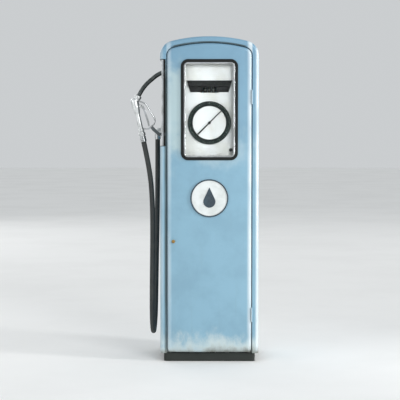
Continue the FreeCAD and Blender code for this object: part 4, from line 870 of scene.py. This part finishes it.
def tube_mesh(name, points, radius, sides):
    """A round tube along the points, closed at both ends, with a map that runs in metres."""
    mesh = bpy.data.meshes.new(name)
    builder = bmesh.new()
    layer = builder.loops.layers.uv.new("HoseMap")
    rings = []
    travelled = [0.0]
    for before, after in zip(points, points[1:]):
        travelled.append(travelled[-1] + (after - before).length)
    side = Vector((1, 0, 0))
    for index, point in enumerate(points):
        ahead = points[min(index + 1, len(points) - 1)] - points[max(index - 1, 0)]
        ahead.normalize()
        side = (side - ahead * side.dot(ahead)).normalized()
        other = ahead.cross(side)
        ring = []
        for number in range(sides):
            angle = 2 * math.pi * number / sides
            outwards = side * math.cos(angle) + other * math.sin(angle)
            ring.append(builder.verts.new(point + radius * outwards))
        rings.append(ring)
    round_length = 2 * math.pi * radius
    for index, (ring, further) in enumerate(zip(rings, rings[1:])):
        for number in range(sides):
            after = (number + 1) % sides
            face = builder.faces.new((ring[number], ring[after], further[after], further[number]))
            face.smooth = True
            across = (number, number + 1, number + 1, number)
            along = (index, index, index + 1, index + 1)
            for loop, step, way in zip(face.loops, across, along):
                loop[layer].uv = (round_length * step / sides, travelled[way])
    for ring in (rings[0][::-1], rings[-1]):
        builder.faces.new(ring)
    bmesh.ops.recalc_face_normals(builder, faces=builder.faces)
    builder.to_mesh(mesh)
    builder.free()
    piece = bpy.data.objects.new(name, mesh)
    bpy.context.scene.collection.objects.link(piece)
    return piece


class PUMP_OT_hose(bpy.types.Operator):
    """Lays the hose between its outlet and the nozzle, with a crimped ferrule at the outlet's end
    """

    bl_idname = "pump.hose"
    bl_label = "Hose"

    def execute(self, context):
        settings = context.scene.pump_hose
        points = route_points()
        hose = tube_mesh("fuel_hose", points, settings.diameter / 2, settings.sides)
        coat(hose, "hose_rubber")
        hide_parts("hose")
        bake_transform(hose)
        low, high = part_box("outlet_ferrule")
        middle = (low + high) / 2
        foot = (middle.x, middle.y, low.z)
        outlet = ferrule("outlet_ferrule_crimped", high.z - low.z, foot, (0, 0, 1))
        fit(outlet, "pump", "bright_metal", "bright_metal", "outlet_ferrule")
        return {"FINISHED"}


def ferrule(name, length, start, along):
    """A round sleeve pressed on to the hose in narrow bands."""
    wide = FERRULE_RADIUS
    narrow = wide - CRIMP_DEPTH
    profile = [(0.0, wide - 0.003), (0.0005, wide - 0.001), (0.0015, wide)]
    pitch = (length - 0.004) / CRIMPS
    for number in range(CRIMPS):
        foot = 0.0025 + number * pitch
        profile += [(foot, wide), (foot + 0.0012, narrow)]
        profile += [(foot + pitch * 0.55, narrow), (foot + pitch * 0.7, wide)]
    profile += [(length - 0.0012, wide), (length, wide - 0.0014)]
    return turned(name, profile, start=start, along=along)


# ---------------------------------------------------------------- casing, window, dial, machinery
def finish_nodes(table):
    """Gives parts of the frame their finishes as they stand."""
    for node, name in table.items():
        coat(NODES[node], name)


class PUMP_OT_casing(bpy.types.Operator):
    """Paints the casing, with rounded sheet edges, and its hinges"""

    bl_idname = "pump.casing"
    bl_label = "Casing"

    def execute(self, context):
        for node in ("hood", "left_side_casing", "right_side_casing"):
            edged_copy(node, "casing_paint", "body_paint", 0.0009)
        flat = ("front_opening_frame", "rear_opening_frame", "hinge_frame_leaves", "rear_panel")
        finish_nodes({node: "casing_paint" for node in flat})
        edged_copy("rear_panel_screws", "pipe_steel", "pipe_steel", 0.0009)
        edged_copy("base_casting", "base_iron", "base_iron", 0.0025, segments=3)
        return {"FINISHED"}


class PUMP_OT_door(bpy.types.Operator):
    """Paints the door and finishes its lock, its stiffeners and its window"""

    bl_idname = "pump.door"
    bl_label = "Door"

    def execute(self, context):
        finish_nodes(
            {
                "front_door": "casing_paint",
                "hinge_door_leaves": "casing_paint",
                "door_stiffeners": "frame_steel",
                "window_glass": "window_glass",
            }
        )
        edged_copy("window_gasket", "window_rubber", "window_rubber", 0.0026, segments=4)
        edged_copy("window_bezel", "bright_metal", "bright_metal", 0.0008)
        edged_copy("door_lock", "worn_brass", "brass", 0.0006)
        return {"FINISHED"}


class PUMP_OT_badge(bpy.types.Operator):
    """Makes the door's badge: a domed enamel disc, its rounded rim and a drop of fuel in relief"""

    bl_idname = "pump.badge"
    bl_label = "Badge"

    def execute(self, context):
        low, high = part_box("badge_plate")
        radius = (high.x - low.x) / 2
        centre = ((low.x + high.x) / 2, high.y, (low.z + high.z) / 2)
        depth = high.y - low.y
        dome = [(0.0, radius), (depth - DOME_RISE, radius)]
        for share in (0.9, 0.75, 0.55, 0.3, 0.08):
            dome.append((depth - DOME_RISE + DOME_RISE * (1 - share**2), radius * share))
        disc = turned("badge_disc", dome, steps=96, start=centre, along=(0, -1, 0))
        fit(disc, "front_door", "enamel_white", "enamel_white", "badge_plate")
        edged_copy("badge_relief", "enamel_dark", "enamel_dark", 0.0009, segments=3)
        return {"FINISHED"}


def dial_marks(settings):
    """Raised marks round the dial's ring, with every fifth one longer."""
    low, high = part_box("dial_ring")
    radius = (high.x - low.x) / 2
    centre = Vector(((low.x + high.x) / 2, low.y, (low.z + high.z) / 2))
    marks = []
    for number in range(settings.marks):
        long = number % 5 == 0
        length = settings.mark_length * (1.7 if long else 1.0)
        mark = primitive("plane", "mark", size=1.0)
        mark.scale = (settings.mark_width * (1.6 if long else 1.0), length, 1)
        mark.rotation_euler = (math.radians(90), 0, 0)
        mark.location = (0, -MARK_PROUD, radius - MARK_INSET - length / 2)
        only(mark)
        bpy.ops.object.transform_apply(location=True, rotation=True, scale=True)
        mark.rotation_euler = (0, 2 * math.pi * number / settings.marks, 0)
        mark.location = centre
        marks.append(mark)
    made = joined("dial_marks", marks)
    only(made)
    bpy.ops.object.transform_apply(location=True, rotation=True, scale=True)
    with editing(made):
        bpy.ops.mesh.select_all(action="SELECT")
        bpy.ops.mesh.extrude_region_move(TRANSFORM_OT_translate={"value": (0, MARK_THICKNESS, 0)})
        bpy.ops.mesh.select_all(action="SELECT")
        bpy.ops.mesh.normals_make_consistent(inside=False)
    return made


class PUMP_OT_dial(bpy.types.Operator):
    """Makes the dial: its plates, the ring with its marks, the face, the hand and the reset knob"""

    bl_idname = "pump.dial"
    bl_label = "Dial"

    def execute(self, context):
        edged_copy("dial_plate", "dial_white", "dial_white", 0.0008)
        edged_copy("dial_ring", "dial_green", "dial_green", 0.0006)
        edged_copy("pointer", "black_paint", "black_paint", 0.0003)
        edged_copy("reset_knob", "black_paint", "black_paint", 0.0008, segments=3)
        edged_copy("counter_visor", "black_paint", "black_paint", 0.0005)
        coat(NODES["dial_face"], "dial_white")
        marks = dial_marks(context.scene.pump_dial)
        fit(marks, "pump", "mark_paint", "dial_white")
        return {"FINISHED"}


def digit_band(height, radius):
    """The digits 0 to 9 wrapped once round a wheel about the X axis, with 0 at the front."""
    pitch = 2 * math.pi * radius / 10
    digits = []
    for number in range(10):
        bpy.ops.object.select_all(action="DESELECT")
        bpy.ops.object.text_add()
        text = bpy.context.object
        text.data.body = str(number)
        text.data.align_x = "CENTER"
        text.data.align_y = "CENTER"
        text.data.size = height * DIGIT_TEXT_SIZE
        text.data.resolution_u = 3
        bpy.ops.object.convert(target="MESH")
        digit = bpy.context.object
        digit.rotation_euler = (math.radians(90), 0, 0)
        digit.location = (0, 0, pitch * number)
        bpy.ops.object.transform_apply(location=True, rotation=True, scale=True)
        digits.append(digit)
    band = joined("digit_band", digits)
    step = pitch / CUTS_PER_DIGIT
    first = -CUTS_PER_DIGIT // 2
    with editing(band):
        for number in range(first, first + 10 * CUTS_PER_DIGIT):
            bpy.ops.mesh.select_all(action="SELECT")
            bpy.ops.mesh.bisect(plane_co=(0, 0, number * step + step / 2), plane_no=(0, 0, 1))
    for vertex in band.data.vertices:
        angle = vertex.co.z / radius
        vertex.co = (vertex.co.x, -radius * math.cos(angle), radius * math.sin(angle))
    return band


class PUMP_OT_counter(bpy.types.Operator):
    """Makes the counter: three black wheels with light digits, on their frame"""

    bl_idname = "pump.counter"
    bl_label = "Counter"

    def execute(self, context):
        coat(NODES["counter_frame"], "black_paint")
        low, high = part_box("counter_wheel_1")
        radius = (high.z - low.z) / 2 + DIGIT_PROUD
        band = digit_band(context.scene.pump_dial.digit_height, radius)
        for number in (1, 2, 3):
            node = f"counter_wheel_{number}"
            low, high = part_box(node)
            edged_copy(node, "black_paint", "black_paint", 0.0006)
            digits = bpy.data.objects.new(f"counter_digits_{number}", band.data.copy())
            digits.data.name = digits.name
            context.scene.collection.objects.link(digits)
            digits.location = (low + high) / 2
            only(digits)
            bpy.ops.object.transform_apply(location=True, rotation=True, scale=True)
            fit(digits, node, "mark_paint", "dial_white")
        bpy.data.objects.remove(band)
        return {"FINISHED"}


class PUMP_OT_recess(bpy.types.Operator):
    """Finishes the nozzle's recess with its strip, switch lever and the nozzle's two supports"""

    bl_idname = "pump.recess"
    bl_label = "Recess"

    def execute(self, context):
        edged_copy("nozzle_pocket", "recess_paint", "black_paint", 0.0006)
        edged_copy("pocket_strip", "bright_metal", "bright_metal", 0.0012, segments=3)
        edged_copy("switch_lever", "bright_metal", "bright_metal", 0.0022, segments=3)
        edged_copy("nozzle_holster", "frame_steel", "frame_steel", 0.0012)
        edged_copy("nozzle_rest", "frame_steel", "frame_steel", 0.0012)
        return {"FINISHED"}


class PUMP_OT_nozzle(bpy.types.Operator):
    """Makes the nozzle, its swivel and the hose's end ferrule, and finishes the outlet's elbow"""

    bl_idname = "pump.nozzle"
    bl_label = "Nozzle"

    def execute(self, context):
        cast_copy("nozzle_body", "nozzle_metal", "nozzle_metal", 0.0010, 9)
        edged_copy("nozzle_spout", "spout_metal", "nozzle_metal", 0.0004)
        cast_copy("nozzle_guard", "bright_metal", "bright_metal", 0.0008, 3)
        edged_copy("nozzle_trigger", "bright_metal", "bright_metal", 0.0028, segments=4)
        edged_copy("trigger_pin", "pipe_steel", "pipe_steel", 0.0006)
        end = ferrule("nozzle_ferrule_crimped", FERRULE_LENGTH, GRIP_FOOT, GRIP_WAY)
        fit(end, "swivel", "bright_metal", "bright_metal", "nozzle_ferrule")
        sleeve = turned("swivel_sleeve", SWIVEL_PROFILE, start=GRIP_FOOT, along=GRIP_WAY)
        nut = turned("swivel_nut", NUT_PROFILE, steps=6, start=GRIP_FOOT, along=GRIP_WAY)
        modify(
            nut, "BEVEL", width=0.0007, segments=2, limit_method="ANGLE",
            angle_limit=math.radians(25),
        )
        swivel = joined("nozzle_swivel_nut", [sleeve, nut])
        smooth(swivel)
        fit(swivel, "swivel", "nozzle_metal", "bright_metal", "nozzle_swivel")
        edged_copy("outlet_elbow", "nozzle_metal", "bright_metal", 0.0010)
        return {"FINISHED"}


class PUMP_OT_frame(bpy.types.Operator):
    """Finishes the welded inner frame with its shelves, conduit and junction box"""

    bl_idname = "pump.frame"
    bl_label = "Inner frame"

    def execute(self, context):
        finish_nodes(
            {"pump_shelf": "frame_steel", "meter_shelf": "frame_steel", "conduit": "pipe_steel"}
        )
        edged_copy("inner_frame", "frame_steel", "frame_steel", 0.0014)
        edged_copy("junction_box", "machine_green", "machine_green", 0.004, segments=4)
        return {"FINISHED"}


class PUMP_OT_drive(bpy.types.Operator):
    """Finishes the motor, the pump, their pulleys and the belt"""

    bl_idname = "pump.drive"
    bl_label = "Motor and pump"

    def execute(self, context):
        edged_copy("motor", "machine_green", "machine_green", 0.0014)
        edged_copy("motor_pulley", "cast_grey", "cast_grey", 0.0010)
        edged_copy("pump_pulley", "cast_grey", "cast_grey", 0.0010)
        edged_copy("pump_unit", "cast_grey", "cast_grey", 0.0016)
        edged_copy("v_belt", "belt_rubber", "belt_rubber", 0.0008)
        return {"FINISHED"}


class PUMP_OT_liquid_path(bpy.types.Operator):
    """Finishes the air separator, the meter, the gearbox behind the dial and the pipes"""

    bl_idname = "pump.liquid_path"
    bl_label = "Meter and pipes"

    def execute(self, context):
        pipes = ("separator_pipes", "delivery_pipe", "suction_pipe")
        finish_nodes({node: "pipe_steel" for node in pipes})
        edged_copy("air_separator", "machine_green", "machine_green", 0.0016)
        edged_copy("meter", "worn_brass", "brass", 0.0018, segments=3)
        edged_copy("meter_shaft", "pipe_steel", "pipe_steel", 0.0008)
        edged_copy("register_gearbox", "machine_green", "machine_green", 0.0016)
        return {"FINISHED"}


# ---------------------------------------------------------------- stage
class PUMP_OT_stage(bpy.types.Operator):
    """Sets the floor, the studio lights and the camera"""

    bl_idname = "pump.stage"
    bl_label = "Stage"

    def lamp(self, name, place, target, size, power, spread=180.0):
        """One soft rectangular lamp, turned towards its target; spread is in degrees."""
        bpy.ops.object.light_add(type="AREA", location=place)
        lamp = bpy.context.object
        lamp.name = name
        lamp.data.shape = "RECTANGLE"
        lamp.data.size, lamp.data.size_y = size
        lamp.data.energy = power
        lamp.data.spread = math.radians(spread)
        lamp.rotation_euler = (Vector(target) - Vector(place)).to_track_quat("-Z", "Y").to_euler()

    def execute(self, context):
        stage = context.scene.pump_stage
        floor = primitive("circle", "floor", vertices=96, radius=FLOOR_RADIUS, fill_type="NGON")
        pale = surface("floor_pale", (0.93, 0.93, 0.925), (0.915, 0.915, 0.91), (0.7, 0.8), 0.8)
        floor.data.materials.append(pale)
        middle = Vector((0, 0, (LOW.z + HIGH.z) / 2))
        self.lamp("key_light", (4.4, -8.8, 4.9), middle, (4.0, 4.0), stage.key_power)
        self.lamp("left_fill", (-8.0, -6.4, 3.2), middle, (4.2, 4.8), stage.fill_power)
        self.lamp("rear_fill", (-5.7, 8.4, 4.5), middle, (5.0, 5.0), stage.fill_power)
        self.lamp("right_rear_fill", (7.6, 6.6, 3.5), middle, (4.3, 4.3), stage.fill_power * 0.6)
        rim = (0.26, -0.2, 0.95)
        self.lamp("edge_light", (3.6, -1.4, 1.6), rim, (0.5, 2.4), stage.edge_power, 60.0)
        world = bpy.data.worlds.new("studio")
        world.use_nodes = True
        context.scene.world = world
        sky = world.node_tree.nodes["Background"]
        sky.inputs["Color"].default_value = (0.90, 0.93, 0.95, 1)
        wiring = Wiring(world.node_tree)
        seen = wiring.add("LightPath").outputs["Is Camera Ray"]
        wiring.feed(wiring.spread(seen, 0.0, 1.0, SKY_LIGHT, SKY_SEEN), sky.inputs["Strength"])
        context.scene.view_settings.view_transform = "Standard"
        place = Vector((0, LOW.y - stage.distance, stage.camera_height))
        centre = Vector(((LOW.x + HIGH.x) / 2 + AIM_SHIFT, LOW.y, middle.z))
        bpy.ops.object.camera_add(location=place)
        camera = bpy.context.object
        camera.rotation_euler = (centre - place).to_track_quat("-Z", "Y").to_euler()
        camera.data.lens = stage.lens
        context.scene.camera = camera
        return {"FINISHED"}


# ---------------------------------------------------------------- sidebar and registration
PIECES = (
    "stage",
    "hose",
    "casing",
    "door",
    "badge",
    "dial",
    "counter",
    "recess",
    "nozzle",
    "frame",
    "drive",
    "liquid_path",
)


class PUMP_PT_sidebar(bpy.types.Panel):
    """The pump's pieces, in the order in which they are made"""

    bl_idname = "PUMP_PT_sidebar"
    bl_label = "Fuel Pump"
    bl_space_type = "VIEW_3D"
    bl_region_type = "UI"
    bl_category = "Fuel Pump"

    def draw(self, context):
        for piece in PIECES:
            self.layout.operator("pump." + piece)


SETTINGS = {
    "pump_paint": PumpPaintSettings,
    "pump_hose": PumpHoseSettings,
    "pump_dial": PumpDialSettings,
    "pump_stage": PumpStageSettings,
}
CLASSES = (
    *SETTINGS.values(),
    PUMP_OT_stage,
    PUMP_OT_hose,
    PUMP_OT_casing,
    PUMP_OT_door,
    PUMP_OT_badge,
    PUMP_OT_dial,
    PUMP_OT_counter,
    PUMP_OT_recess,
    PUMP_OT_nozzle,
    PUMP_OT_frame,
    PUMP_OT_drive,
    PUMP_OT_liquid_path,
    PUMP_PT_sidebar,
)


def register():
    for made in CLASSES:
        bpy.utils.register_class(made)
    for name, group in SETTINGS.items():
        setattr(bpy.types.Scene, name, PointerProperty(type=group))


def unregister():
    for name in SETTINGS:
        delattr(bpy.types.Scene, name)
    for made in reversed(CLASSES):
        bpy.utils.unregister_class(made)


def main():
    register()
    for piece in PIECES:
        getattr(bpy.ops.pump, piece)()


if __name__ == "__main__":
    main()
